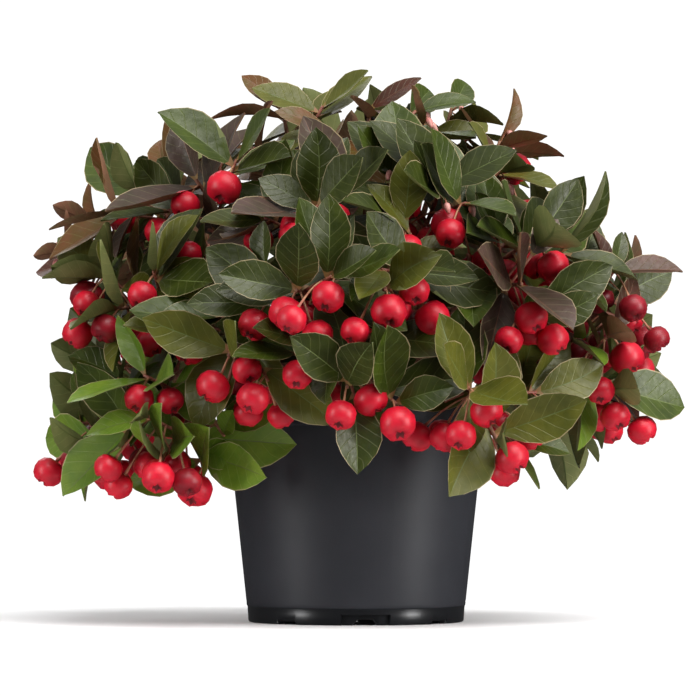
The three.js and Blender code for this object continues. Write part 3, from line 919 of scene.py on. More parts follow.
def leaf_faces():
    """The ring of columns from row to row, closed at both ends, with a kind of surface for each face."""
    columns = len(COLUMNS)
    wall = ring_grid(len(ROWS), columns)[:, ::-1]
    end = np.array([[0, 1, 2, 7], [2, 3, 6, 7], [3, 4, 5, 6]])
    faces = np.concatenate([wall, end, end[:, ::-1] + columns * (len(ROWS) - 1)])
    kinds = np.tile([UPPER, UPPER, RIB, UPPER, UPPER, UNDER, RIB, UNDER], (len(ROWS) - 1, 1))
    kinds[0] = PETIOLE
    return faces, np.concatenate([kinds.ravel(), [PETIOLE] * len(end), [RIB] * len(end)])


LEAF_FACES, FACE_KINDS = leaf_faces()
LEAF_PLACES = np.stack(np.broadcast_arrays((COLUMNS[None] + 1) / 2, ROWS[:, None]), axis=-1).reshape(-1, 2)
print("a leaf has", len(LEAF_FACES), "faces")

# %% [markdown]
# Leather-like leaves have a cuticle of wax over dark flesh: a broad, faintly warm sheen and no mirror. The
# colours have places, so each leaf is dealt one plain tint by its spray. On that lie only faint things:
# blotches some 9 mm wide, paler side veins sunk into the flesh, low swellings about the size of the fields
# between them, a cream margin, and a fine grain in the gloss. The cream is partly the margin's own paler
# colour and partly a painted highlight where the thin edge catches light. The underside is duller and
# paler, and there the same veins stand out. The veins are drawn from the leaf's own map, so they follow
# every leaf's shape.

# %% The finish of the leaves
TINTS = {
    "deep": ("#262f08", "#363f10"),
    "green": ("#3e4c0e", "#2c390a"),
    "fresh": ("#647a22", "#4c6818"),
    "olive": ("#5a5a1a", "#464a12"),
    "bronze": ("#683e20", "#504012"),
    "plum": ("#4e3a34", "#383022"),
    "maroon": ("#4e2418", "#382010"),
}
PLANT_IOR = 1.45
VEINS = {"count": 7, "slant": 0.2, "from": 0.86, "height": 0.4, "sunk_mm": 0.28, "raised_mm": 0.2}
VEIN_COLOUR = {"hex": "#a8ac6a", "above": 0.26, "below": 0.5}
# The margin's cream is partly the edge's own paler colour and partly a painted highlight where the thin
# edge catches light.
MARGIN_AND_EDGE_HIGHLIGHT = {"from": 0.95, "to": 0.99, "share": 0.7, "colour": "#b8a580"}
QUILT = {"size_mm": 5, "deep_mm": 0.45}
GLOSS = {"grain_mm": 1.6, "from": 0.34, "to": 0.48}
GRAIN_HEIGHT = 0.4
LEAF_RELIEF = 0.7
WAX = "#fffcf2"


def side_veins(tree):
    """How far a place is out from the midrib, and the lines that slant forward from it to the edge.

    The way out is |2x - 1| on the leaf's map. The place along the leaf, less a share of the way out, runs
    to and fro between 0 and 1 once for each vein, and the line is where it is nearly 1.
    """
    surface = put(tree, "ShaderNodeUVMap", uv_map="surface")
    x = put(tree, SPLIT, {"Vector": surface}, output="X")
    y = x.node.outputs["Y"]
    out = put(tree, MATH, [x, 2.0, -1.0], operation="MULTIPLY_ADD")
    out = put(tree, MATH, [out], operation="ABSOLUTE")
    beat = put(tree, MATH, [out, -VEINS["slant"], y], operation="MULTIPLY_ADD")
    beat = put(tree, MATH, [beat, 2 * VEINS["count"]], operation="MULTIPLY")
    beat = put(tree, MATH, [beat, 1.0], operation="PINGPONG")
    line = put(tree, RANGE, {"Value": beat, "From Min": VEINS["from"], "To Max": VEINS["height"]})
    return out, line


def veined(tree, body, line, share):
    """A colour with the veins' own colour mixed in along their lines."""
    share = put(tree, MATH, [line, share], operation="MULTIPLY")
    return put(tree, MIX, {"Factor": share, 6: body, 7: linear(VEIN_COLOUR["hex"])}, **COLOURS)


def edged_and_highlit(tree, body, out):
    """A colour that turns to cream at the leaf's margin: partly the margin's own paler colour, and partly a
    painted highlight where the edge catches light.
    """
    edge = {"From Min": MARGIN_AND_EDGE_HIGHLIGHT["from"], "From Max": MARGIN_AND_EDGE_HIGHLIGHT["to"], "To Max": MARGIN_AND_EDGE_HIGHLIGHT["share"]}
    share = put(tree, RANGE, {"Value": out, **edge})
    return put(tree, MIX, {"Factor": share, 6: body, 7: linear(MARGIN_AND_EDGE_HIGHLIGHT["colour"])}, **COLOURS)


def leaf_material(name, flesh, shade):
    """A leathery leaf's upper face: waxed flesh with faint blotches, sunken side veins and a pale edge,
    which is partly its own colour and partly a painted highlight where the edge catches light.

    Its height is the quilting and the grain less the veins.
    """
    material, tree, shader, spot = start_material(name, roughness=0.4, ior=PLANT_IOR)
    out, line = side_veins(tree)
    body = two_tone(tree, put(tree, NOISE, sized(spot, 9)), flesh, shade)
    body = edged_and_highlit(tree, veined(tree, body, line, VEIN_COLOUR["above"]), out)
    grain = put(tree, NOISE, sized(spot, GLOSS["grain_mm"]))
    gloss = {"Value": grain, **MOST_OF_NOISE, "To Min": GLOSS["from"], "To Max": GLOSS["to"]}
    sheen = {"Roughness": put(tree, RANGE, gloss), "Specular Tint": linear(WAX)}
    connect(tree, shader, {"Base Color": body, **sheen})
    swell = put(tree, NOISE, sized(spot, QUILT["size_mm"], detail=1))
    swell = put(tree, MATH, [swell, QUILT["deep_mm"] / VEINS["sunk_mm"]], operation="MULTIPLY")
    height = put(tree, MATH, [grain, GRAIN_HEIGHT, swell], operation="MULTIPLY_ADD")
    height = put(tree, MATH, [height, line], operation="SUBTRACT")
    connect(tree, shader, {"Normal": put(tree, BUMP, raised(height, VEINS["sunk_mm"], LEAF_RELIEF))})
    return material


def leaf_underside(name, flesh, spots):
    """A leaf's underside: dull, paler flesh on which the same veins stand out a little."""
    material, tree, shader, spot = start_material(name, roughness=0.55, ior=PLANT_IOR)
    _, line = side_veins(tree)
    body = two_tone(tree, put(tree, NOISE, sized(spot, 5)), flesh, spots)
    grain = put(tree, NOISE, sized(spot, 1.2))
    height = put(tree, MATH, [grain, GRAIN_HEIGHT, line], operation="MULTIPLY_ADD")
    bump = put(tree, BUMP, raised(height, VEINS["raised_mm"], LEAF_RELIEF))
    connect(tree, shader, {"Base Color": veined(tree, body, line, VEIN_COLOUR["below"]), "Normal": bump})
    return material


def plain_flesh(name, face, spots, roughness, blotch_mm=5):
    """Softer flesh with blotches: the ribs, the stalks, the twigs, the buds and the berries' mouths. In the
    mouths the dark colour is partly painted shade.
    """
    material, tree, shader, spot = start_material(name, roughness, ior=PLANT_IOR)
    body = two_tone(tree, put(tree, NOISE, sized(spot, blotch_mm)), face, spots)
    bump = put(tree, BUMP, raised(put(tree, NOISE, sized(spot, 0.8)), depth_mm=0.1, strength=0.5))
    connect(tree, shader, {"Base Color": body, "Normal": bump})
    return material


LEAF_MATERIALS = [
    plain_flesh("leaf stalk", "#8a5a3c", "#7c6a3a", roughness=0.5),
    plain_flesh("green leaf rib", "#626c3a", "#4f5c2c", roughness=0.45),
    plain_flesh("reddened leaf rib", "#775040", "#664630", roughness=0.45),
    leaf_underside("leaf underside", "#6a7340", "#7a7c4a"),
    leaf_underside("reddened leaf underside", "#96644e", "#7c6244"),
]
STALK_LOOK, RIB_LOOK, UNDER_LOOK = 0, 1, 3
TINT_NAMES = list(TINTS)
FIRST_TINT = len(LEAF_MATERIALS)
LEAF_MATERIALS += [leaf_material(name + " leaf", *TINTS[name]) for name in TINT_NAMES]
REDDENED = [TINT_NAMES.index(name) for name in ("bronze", "plum", "maroon")]
YOUNG_TINTS = [TINT_NAMES.index(name) for name in ("bronze", "maroon")]
print("leaf materials", len(LEAF_MATERIALS))

# %% [markdown]
# The leaves of a group of masses are joined into one mesh, and there are several groups, so that no mesh
# gets so large that its file would be thinned. Each leaf draws its own fold, arch, twist, sweep, wave and
# width, all from one seed. The tints of young shoots, bronze and maroon, go with slimmer and more twisted
# leaves, as they do at the top of the real plant.

# %% Make the leaves
GROUPS = {
    "crest": "top_left top_middle top_right crest_right left_crest back_top",
    "left": "left_shoulder far_left left_middle skirt_far_left skirt_left",
    "middle": "centre_high centre_front right_front skirt_front_left skirt_front",
    "right": "right_high right_shoulder right_middle far_right skirt_right skirt_far_right",
    "back": "back_left back_right back_middle back_skirt side_left side_right",
}
VARIETY_SEED = 11
VARIETY = {
    "fold": (0.1, 0.52),
    "arch": (-0.05, 0.07),
    "twist": (-0.25, 0.25),
    "sweep": (-0.055, 0.055),
    "ripple": (0.01, 0.06),
    "phase": (0, 1),
    "slim": (0.86, 1.06),
}
YOUNG = {"slimmer": 0.2, "curlier": 0.6}
SPRAY_TINT = 0.72
LEAF_CREASE = 75
chance = np.random.default_rng(VARIETY_SEED)


def leaf_tints(some):
    """The tint of each leaf: its spray's own, or now and then any of its mass."""
    count = len(MASSES[0]["tints"])
    spray = {id(shoot): chance.integers(count) for shoot, _ in some}
    dealt = []
    for shoot, _ in some:
        place = spray[id(shoot)] if chance.random() < SPRAY_TINT else chance.integers(count)
        dealt.append(TINT_NAMES.index(shoot["owner"]["tints"][place]))
    return np.array(dealt)


def draw_variety(count, young):
    """A random value of each kind for every leaf. Young leaves are twisted more, and slimmer."""
    variety = {}
    for name, (low, high) in VARIETY.items():
        variety[name] = chance.uniform(low, high, count)[:, None, None]
    variety["twist"] *= 1 + YOUNG["curlier"] * young
    variety["slim"] *= 1 - YOUNG["slimmer"] * young
    return variety


def make_leaves(group, names):
    """One piece with all leaves of some masses. Reddened leaves have their own rib and underside."""
    some = [(shoot, leaf) for shoot, leaf in leaves if shoot["owner"]["name"] in names]
    count = len(some)
    tints = leaf_tints(some)
    red = np.isin(tints, REDDENED)[:, None]
    variety = draw_variety(count, np.isin(tints, YOUNG_TINTS)[:, None, None])
    points = leaf_points([leaf for _, leaf in some], variety).reshape(-1, 3)
    by_kind = {PETIOLE: STALK_LOOK, RIB: RIB_LOOK + red, UPPER: FIRST_TINT + tints[:, None]}
    by_kind[UNDER] = UNDER_LOOK + red
    looks = np.zeros((count, len(FACE_KINDS)), int)
    for kind, look in by_kind.items():
        looks = np.where(FACE_KINDS == kind, look, looks)
    faces = copies(LEAF_FACES, count, len(ROWS) * len(COLUMNS))
    places = np.tile(LEAF_PLACES, (count, 1))
    piece = build_piece("leaves_" + group, points, faces, LEAF_MATERIALS, looks.ravel(), places=places)
    piece.data.set_sharp_from_angle(angle=math.radians(LEAF_CREASE))
    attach(piece, "root")
    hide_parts(*["foliage_" + name for name in names])


for group, names in GROUPS.items():
    make_leaves(group, names.split())

# %% [markdown]
# Stems, side twigs and berry stalks are all tubes: a circle carried along a curve. One function makes any
# number of them at once. Each tube's circles keep one side direction, so that its faces don't twist.
# The berries, the pot and the peat are rings of points round an axis too, so all of them get their faces
# from one function.

# %% Many tubes at once
TUBE_SIDES = 6
BESIDE_UP = UP + 0.01


def closed_faces(rows, columns, upward=True):
    """The wall between rings of points, and fans that close both ends, each round a pole.

    The points of the two poles come last. Where rings that turn anticlockwise follow each other upward,
    these faces look outward. Where they follow each other downward, the faces are turned over.
    """
    here = np.arange(columns)
    beside = (here + 1) % columns
    first = np.stack([beside, here, np.full(columns, rows * columns)], axis=1)
    last = np.stack([here, beside, np.full(columns, rows * columns + 1)], axis=1)
    last[:, :2] += (rows - 1) * columns
    wall, fans = ring_grid(rows, columns), np.concatenate([first, last])
    if upward:
        return wall, fans
    return wall[:, ::-1], fans[:, [1, 0, 2]]


def tubes(centres, radii, sides=TUBE_SIDES):
    """Tubes along many lines, whose centres come as lines by rows by 3.

    radii is one number, one for each row, or one for each line, row and side. A point is its row's centre
    plus its radius times a direction that turns from one side direction, square to the line, to the other.
    A pole closes each end. The side direction is square to BESIDE_UP too, so upright lines also have one.
    """
    count, rows, _ = centres.shape
    along = np.gradient(centres, axis=1)
    along /= np.linalg.norm(along, axis=2, keepdims=True)
    middle = along.mean(axis=1, keepdims=True)
    left = np.cross(BESIDE_UP, middle) + 0 * along
    left -= along * (left * along).sum(axis=2, keepdims=True)
    left /= np.linalg.norm(left, axis=2, keepdims=True)
    over = np.cross(along, left)
    turn = turns_of(sides)
    radii = np.asarray(radii, float)
    radii = np.broadcast_to(radii if radii.ndim == 3 else radii[..., None], (count, rows, sides))
    out = np.cos(turn)[:, None] * left[:, :, None] + np.sin(turn)[:, None] * over[:, :, None]
    wall = (centres[:, :, None] + radii[..., None] * out).reshape(count, -1, 3)
    points = np.concatenate([wall, centres[:, :1], centres[:, -1:]], axis=1).reshape(-1, 3)
    quads, fans = (copies(faces, count, rows * sides + 2) for faces in closed_faces(rows, sides))
    return points, quads, fans


def tube_piece(name, centres, radii, material, sides=TUBE_SIDES):
    """Many tubes as one piece of one material."""
    points, quads, fans = tubes(centres, radii, sides)
    return build_piece(name, points, quads, [material], triangles=fans)


# %% [markdown]
# Young wintergreen stems are woody, thin and reddish brown, paler where the bark splits lengthwise. They
# rise from a short knotted foot at the soil. Swellings mark where old leaves fell, about 9 mm apart.

# %% The bark
bark, tree, shader, spot = start_material("thin woody bark", roughness=0.7, ior=1.5)
streak = put(tree, "ShaderNodeMapping", {"Vector": spot, "Scale": (1, 1, 0.25)})
flake = put(tree, NOISE, sized(streak, 1.5, detail=6))
bump = put(tree, BUMP, raised(flake, depth_mm=0.4))
connect(tree, shader, {"Base Color": two_tone(tree, flake, "#5b3124", "#92664c"), "Normal": bump})

# %% The stems and the rootstock
STEM_MESH = {"rows": 60, "sides": 10}
SCARS = {"spacing": 9.0, "swell": 0.16, "sharpness": 6}
RIDGES = {"count": 3, "from_stem_to_stem": 5, "twist": 9, "swell": 0.07}
KNOB = {"rows": 20, "sides": 48, "share": 0.94, "sunk": 1}
KNOTS = {
    "broad": 0.07,
    "broad_round": 5,
    "broad_up": 3,
    "fine": 0.05,
    "fine_round": 9,
    "fine_up": 4,
    "tall": 0.05,
    "tall_round": 7,
}

at = np.linspace(0, 1, STEM_MESH["rows"])
lines = np.stack([owner["main"].points(at) for owner in MASSES])
lengths = np.array([owner["main"].length for owner in MASSES])[:, None, None]
thick = [STEM["foot_radius"], STEM["join_radius"], STEM["tip_radius"]]
taper = np.interp(at, [0, STEM["join_at"], 1], thick)
turn = turns_of(STEM_MESH["sides"])
scars = np.cos(2 * np.pi * at[None, :, None] * lengths / SCARS["spacing"]).clip(0) ** SCARS["sharpness"]
start = RIDGES["from_stem_to_stem"] * np.arange(len(MASSES))[:, None, None]
ridges = np.sin(RIDGES["count"] * turn + start + RIDGES["twist"] * at[:, None])
radii = taper[None, :, None] * (1 + SCARS["swell"] * scars + RIDGES["swell"] * ridges)
stem_points, stem_quads, stem_fans = tubes(lines, radii, STEM_MESH["sides"])


def knob_points():
    """Half a ball of wood, its rings from the foot up, swollen into knots by waves that cross."""
    rise = np.linspace(0, np.pi / 2, KNOB["rows"])[:, None]
    turn = turns_of(KNOB["sides"])
    broad = KNOTS["broad"] * np.sin(KNOTS["broad_round"] * turn + KNOTS["broad_up"] * rise)
    fine = KNOTS["fine"] * np.sin(KNOTS["fine_round"] * turn - KNOTS["fine_up"] * rise) * np.cos(rise)
    width = ROOTSTOCK["radius"] * np.cos(rise) * (1 + broad + fine) * KNOB["share"]
    foot = SOIL["top"] - KNOB["sunk"]
    lumps = 1 + KNOTS["tall"] * np.sin(KNOTS["tall_round"] * turn) * np.cos(rise)
    height = foot + ROOTSTOCK["height"] * np.sin(rise) * lumps
    rings = np.stack([width * np.cos(turn), width * np.sin(turn), height], axis=-1)[:-1]
    return np.concatenate([rings.reshape(-1, 3), [[0, 0, foot], [0, 0, foot + ROOTSTOCK["height"]]]])


knob_faces = closed_faces(KNOB["rows"] - 1, KNOB["sides"])
knob_quads, knob_fans = (faces + len(stem_points) for faces in knob_faces)
points = np.concatenate([stem_points, knob_points()])
quads = np.concatenate([stem_quads, knob_quads])
fans = np.concatenate([stem_fans, knob_fans])
stems = build_piece("stems", points, quads, [bark], triangles=fans)
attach(stems, "root")
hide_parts("rootstock", *["bough_" + owner["name"] for owner in MASSES])

# %% [markdown]
# The side twigs are this year's growth, still red and smooth. The berry stalks are redder and thinner.
# Each leaves its twig outward, bows over, and ends in the hollow at the top of its berry.

# %% The twigs
TWIG_ROWS = 5
twig_bark = plain_flesh("this year's twig bark", "#7c3f33", "#97614a", roughness=0.5, blotch_mm=3)

lines = np.stack([curve.points(np.linspace(0, 1, TWIG_ROWS)) for curve in twig_lines])
taper = np.linspace(SIDE_SHOOT["foot_radius"], SIDE_SHOOT["tip_radius"], TWIG_ROWS)
twigs = tube_piece("twigs", lines, taper, twig_bark)
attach(twigs, "root")

# %% The berry stalks
STALK = {"rows": 8, "bowed_up": 0.3, "bowed_out": 1.5}
STALK_TAPER = {"at": (0, 0.15, 0.85, 1), "radii": (0.7, 0.45, 0.5, 0.8)}
MOUTH_OUT = 0.75
HOLLOW = 0.86
stalk_skin = plain_flesh("berry stalk skin", "#a3584a", "#b08a62", roughness=0.45, blotch_mm=3)


def berry_axis(out):
    """The way from a berry's middle to its stalk: up, and leaning in as far as the berry faces out."""
    return unit(UP - out * MOUTH_OUT)


def stalk_bow(root, centre, out, radius):
    """From the twig to the hollow at the top of the berry, bowed up by a share of the way, and out."""
    up = berry_axis(out)
    crown = centre + up * radius * HOLLOW
    bend = (root + crown) / 2 + up * STALK["bowed_up"] * np.linalg.norm(crown - root)
    return Bow(root, bend + out * STALK["bowed_out"], crown)


at = np.linspace(0, 1, STALK["rows"])
lines = np.stack([stalk_bow(*berry).points(at) for _, *berry in berries])
taper = np.interp(at, STALK_TAPER["at"], STALK_TAPER["radii"])
stalks = tube_piece("berry_stalks", lines, taper, stalk_skin)
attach(stalks, "root")

# %% [markdown]
# A wintergreen berry is not a true berry but the flower's calyx grown fleshy round a dry capsule. So its
# free end keeps the calyx's mouth: five lobes that close over a small hollow, with a crease between each
# two. Its skin is waxy red, with a broad soft highlight.

# %% The shape of a berry
LOBES = 5
BERRY_ROWS = np.array(
    [
        (0.14, 0.8),
        (0.48, 0.82),
        (0.82, 0.6),
        (1.0, 0.22),
        (1.0, -0.2),
        (0.84, -0.58),
        (0.58, -0.8),
        (0.32, -0.86),
        (0.16, -0.66),
    ]
)
BERRY_POLES = (0.74, -0.58)
RIM_ROWS = slice(5, 9)
CREASE_DEEP = np.array([0.03, 0.14, 0.2, 0.1])
SMOOTH_SKIN, CREASE, DARK_SKIN = 0, 1, 2
OFF_AXIS = [1.0, 0.3, 0.2]


def turned_points(centres, axes, sizes, spins, wide, high, ends):
    """Rings of points round each shape's own axis, and a pole at both ends.

    wide and high give each row and column its distance from the axis and along it, as shares of the
    shape's size. A ring turns from one direction square to the axis to the other, and the first of them is
    square to OFF_AXIS too, which no axis here is near.
    """
    first = np.cross(axes, OFF_AXIS)
    first /= np.linalg.norm(first, axis=1, keepdims=True)
    second = np.cross(axes, first)
    turn = turns_of(wide.shape[1]) + spins[:, None]
    around = np.cos(turn)[..., None] * first[:, None] + np.sin(turn)[..., None] * second[:, None]
    rings = wide[..., None] * around[:, None] + high[..., None] * axes[:, None, None]
    poles = np.array(ends)[:, None] * axes[:, None]
    whole = np.concatenate([rings.reshape(len(axes), -1, 3), poles], axis=1)
    return (centres[:, None] + sizes[:, None, None] * whole).reshape(-1, 3)


def berry_sections():
    """A berry's rings. Every second point lies on a crease, and at the rim it is drawn in and up."""
    wide = np.repeat(BERRY_ROWS[:, :1], 2 * LOBES, axis=1)
    high = np.repeat(BERRY_ROWS[:, 1:], 2 * LOBES, axis=1)
    creased = np.tile([1.0, 0.0], LOBES)
    wide[RIM_ROWS] -= CREASE_DEEP[:, None] * creased * wide[RIM_ROWS]
    high[RIM_ROWS] += CREASE_DEEP[:, None] * creased
    return wide, high


# %% [markdown]
# Light enters the flesh of a berry a little, which softens its shadows, and its wax gives a wide highlight.
# A few berries are overripe and darker, and at the far right about half of them are. These are dealt out
# by chance. The last ring and the fan that closes the mouth get a dull, dark skin of their own, which is
# partly the mouth's own deeper red and partly painted shade for the shadow in its hollow and creases.

# %% The finish of the berries


def berry_skin(name, bright, dark):
    """Waxy red skin over flesh that light enters a little, mottled where it is riper."""
    material, tree, shader, spot = start_material(name, roughness=0.36, ior=PLANT_IOR)
    body = two_tone(tree, put(tree, NOISE, sized(spot, 7)), bright, dark)
    grain = put(tree, NOISE, sized(spot, 2))
    gloss = put(tree, RANGE, {"Value": grain, **MOST_OF_NOISE, "To Min": 0.38, "To Max": 0.48})
    bump = put(tree, BUMP, raised(put(tree, NOISE, sized(spot, 1.5)), depth_mm=0.1, strength=0.4))
    connect(tree, shader, {"Base Color": body, "Roughness": gloss, "Normal": bump})
    glow = {"Subsurface Weight": 0.15, "Subsurface Radius": (1.0, 0.2, 0.1), "Subsurface Scale": 1.5 * MM}
    connect(tree, shader, glow)
    return material


BERRY_MATERIALS = [
    berry_skin("ripe berry skin", "#ca0e2a", "#ac0820"),
    # The mouth's dark red is partly its own colour and partly painted shade for the shadow in its hollow.
    plain_flesh("berry mouth with painted shade", "#7d0c18", "#5a0810", roughness=0.6, blotch_mm=2),
    berry_skin("dark berry skin", "#980c20", "#760a18"),
]

# %% The berries
DARK_SHARE = {"far_right": 0.5}
USUAL_DARK_SHARE = 0.12

columns, rows = 2 * LOBES, len(BERRY_ROWS)
wall, fans = closed_faces(rows, columns, upward=False)
wall_kinds = np.full((rows - 1, columns), SMOOTH_SKIN)
# The last ring of the wall, round the mouth, takes the mouth's dark skin, which is partly painted shade.
wall_kinds[-1] = CREASE
kinds = np.concatenate([wall_kinds.ravel(), [SMOOTH_SKIN] * columns, [CREASE] * columns])

bearers, _, centres, outs, radii = zip(*berries)
count = len(berries)
axes = np.stack([berry_axis(out) for out in outs])
dark_shares = [DARK_SHARE.get(shoot["owner"]["name"], USUAL_DARK_SHARE) for shoot in bearers]
dark = np.array([chance.random() < share for share in dark_shares])
spins = chance.uniform(0, 2 * np.pi, count)
points = turned_points(np.stack(centres), axes, np.array(radii), spins, *berry_sections(), BERRY_POLES)
looks = np.where((kinds == SMOOTH_SKIN) & dark[:, None], DARK_SKIN, kinds)
looks = np.concatenate([looks[:, : len(wall)].ravel(), looks[:, len(wall) :].ravel()])
quads, fans = (copies(faces, count, rows * columns + 2) for faces in (wall, fans))
fruit = build_piece("berries", points, quads, BERRY_MATERIALS, looks, triangles=fans)
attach(fruit, "root")

# %% [markdown]
# A few late shoots carry next year's flowers: closed pink buds, shaped like tiny urns, that nod from the
# tips of their twigs on short stalks. They are turned shapes like the berries, only slimmer and plainer.
# Like a leaf or a berry, a bud is kept only where it is clear of all that stands.

# %% The places of the buds
BUDDING = ("top_middle", "top_right", "crest_right", "right_high", "far_left")
BUD = {"count": 4, "size": 2.6, "out": 6.5, "opening": 34, "lower": 1.5, "nod": 0.6}
BUD_MESH = {"sides": 8, "stalk_radius": 0.4, "stalk_rows": 6}
BUD_ROWS = np.array([(0.3, 0.98), (0.56, 0.7), (0.62, 0.25), (0.5, -0.3), (0.28, -0.8), (0.2, -1.0)])
BUD_POLES = (1.0, -1.02)

buds = []
for shoot in shoots:
    if shoot["owner"]["name"] in BUDDING:
        root = behind_tip(shoot, LEAF["first"])
        for i in range(BUD["count"]):
            way = leaning(level_out(root), shoot["turn"] + i * GOLDEN_TURN, BUD["opening"])
            centre = root + way * BUD["out"] - UP * i * BUD["lower"]
            axis = unit(UP - way * BUD["nod"])
            body = ball(centre, axis, BUD["size"])
            if is_clear(body, body, shoot["owner"]):
                stand(body, body, shoot["owner"])
                buds.append((root, centre, axis))
roots, centres, axes = (np.stack(part) for part in zip(*buds))
print("buds", len(buds))

# %% The buds and their stalks
count, rows, columns = len(buds), len(BUD_ROWS), BUD_MESH["sides"]
spins = chance.uniform(0, 2 * np.pi, count)
wide, high = (np.repeat(BUD_ROWS[:, i : i + 1], columns, axis=1) for i in (0, 1))
points = turned_points(centres, axes, np.full(count, BUD["size"]), spins, wide, high, BUD_POLES)
both = closed_faces(rows, columns, upward=False)
wall, fans = (copies(faces, count, rows * columns + 2) for faces in both)

at = np.linspace(0, 1, BUD_MESH["stalk_rows"])
necks = centres + axes * BUD["size"]
lines = np.stack([Bow(root, neck + UP * BUD["lower"], neck).points(at) for root, neck in zip(roots, necks)])
stalk_points, stalk_wall, stalk_fans = tubes(lines, BUD_MESH["stalk_radius"])
quads = np.concatenate([wall, stalk_wall + len(points)])
triangles = np.concatenate([fans, stalk_fans + len(points)])
looks = np.repeat([0, 1, 0, 1], [len(wall), len(stalk_wall), len(fans), len(stalk_fans)])
points = np.concatenate([points, stalk_points])
bud_skin = plain_flesh("pink bud skin", "#dba79a", "#c4736e", roughness=0.45, blotch_mm=3)
pink_buds = build_piece("buds", points, quads, [bud_skin, stalk_skin], looks, triangles=triangles)
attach(pink_buds, "root")

# %% [markdown]
# The pot is injection-moulded polypropylene, coloured near black with a little blue. Its wall has the
# satin of a blasted mould, and its foot ring, which left a polished part of the mould, is glossier. It
# could be a turned shape cut with boxes, but here one section is carried round, and each point of the
# foot asks how far it is from the middle of an arch or slot, and moves in or up by that.

# %% The shape of the pot
POT_TURN = 5.0
POT_STEP = 2.5
BASE_UNDER, BASE_TOP = 5.4, 7.4
ARCH = {"width": 22.0, "depth": 1.8, "throat_top": 7.0, "throat_foot": 12.0, "throat_height": 2.6}
ARCH_BEARINGS = np.array([-90.0, 90.0])
SLOT = {"width": 10.6, "height": 1.5}
SLOT_BEARINGS = np.array([-135.0, -45.0, 45.0, 135.0])
EDGE_DEGREES = 0.12
FOOT_RADIUS = 48.5
POT_SECTION = np.array(
    [
        (44.5, BASE_UNDER),
        (44.5, 0.6),
        (45.0, 0.0),
        (48.4, 0.0),
        (49.2, 0.3),
        (49.5, 1.0),
        (49.7, 4.7),
        (49.71, 4.8),
        (49.85, 7.0),
        (49.95, 7.4),
        (50.15, 7.55),
        (50.3, 7.9),
        (50.4, 9.5),
        (54.6, 49.0),
        (58.95, 89.0),
        (59.1, 89.8),
        (59.5, 90.05),
        (59.8, 90.4),
        (59.95, 91.2),
        (60.4, 101.8),
        (60.3, 102.6),
        (59.9, 103.0),
        (59.3, 103.0),
        (58.9, 102.7),
        (58.8, 102.0),
        (57.6, 90.0),
        (48.9, 9.0),
        (48.0, 7.6),
        (46.5, BASE_TOP),
    ]
)
LIFTED_ROWS, DRAWN_IN_ROWS, GLOSSY_ROWS = slice(1, 6), slice(2, 7), slice(3, 9)


def edges(bearings, width):
    """Where round the pot a feature starts and stops, as pairs of angles either side of each edge."""
    half = math.degrees(width / 2 / FOOT_RADIUS)
    sides = np.concatenate([bearings - half, bearings + half]) + POT_TURN
    return np.concatenate([sides - EDGE_DEGREES, sides + EDGE_DEGREES])


turns = [np.arange(0, 360, POT_STEP), edges(SLOT_BEARINGS, SLOT["width"])]
turns += [edges(ARCH_BEARINGS, ARCH[part]) for part in ("width", "throat_top", "throat_foot")]
turns = np.unique(np.concatenate(turns).round(3) % 360)


def offset_from(bearings):
    """How far round the foot each angle is from the nearest middle of a feature, in millimetres."""
    gap = (turns[:, None] - POT_TURN - bearings + 180) % 360 - 180
    return np.abs(np.radians(gap)).min(axis=1) * FOOT_RADIUS


def pot_points():
    """The section's radius and height at every angle, drawn in at an arch and lifted at a way through.

    An arch's way through is lifted by its full height up to half its top's width from the middle, and by
    less and less from there to half its foot's width. A slot's is lifted by one height all over.
    """
    radius = np.repeat(POT_SECTION[:, :1], len(turns), axis=1)
    height = np.repeat(POT_SECTION[:, 1:], len(turns), axis=1)
    from_arch, from_slot = offset_from(ARCH_BEARINGS), offset_from(SLOT_BEARINGS)
    radius[DRAWN_IN_ROWS] -= ARCH["depth"] * (from_arch < ARCH["width"] / 2)
    slope = (ARCH["throat_foot"] / 2 - from_arch) / (ARCH["throat_foot"] / 2 - ARCH["throat_top"] / 2)
    throat = ARCH["throat_height"] * slope.clip(0, 1)
    slot = SLOT["height"] * (from_slot < SLOT["width"] / 2)
    height[LIFTED_ROWS] += np.maximum(throat, slot)
    around = np.radians(turns)
    rings = np.stack([radius * np.cos(around), radius * np.sin(around), height], axis=-1)
    return np.concatenate([rings.reshape(-1, 3), [[0, 0, BASE_UNDER], [0, 0, BASE_TOP]]])


print("the pot's section has", len(POT_SECTION), "points and is carried to", len(turns), "angles")

# %% [markdown]
# Both finishes are the same black plastic. The satin one has the fine grain of the blasted mould in its
# gloss and as a faint relief. The polished one is darker, smoother and a little wavy, as thin mouldings
# are, and mirrors the soft boxes as two bright patches.

# %% The finish of the pot
PLASTIC_IOR = 1.49
satin, tree, shader, spot = start_material("satin moulded polypropylene", 0.48, PLASTIC_IOR)
black = two_tone(tree, put(tree, NOISE, sized(spot, 30)), "#27282d", "#2e2f34")
texture = put(tree, NOISE, sized(spot, 0.7, detail=2))
gloss = put(tree, RANGE, {"Value": texture, **MOST_OF_NOISE, "To Min": 0.45, "To Max": 0.52})
bump = put(tree, BUMP, raised(texture, depth_mm=0.04, strength=0.6))
connect(tree, shader, {"Base Color": black, "Roughness": gloss, "Normal": bump, "Specular IOR Level": 0.35})

polished, tree, shader, spot = start_material("polished moulded polypropylene", 0.3, PLASTIC_IOR)
black = two_tone(tree, put(tree, NOISE, sized(spot, 18)), "#0c0d10", "#131418")
bump = put(tree, BUMP, raised(put(tree, NOISE, sized(spot, 6)), depth_mm=0.05, strength=0.4))
connect(tree, shader, {"Base Color": black, "Normal": bump, "Specular IOR Level": 1.0})

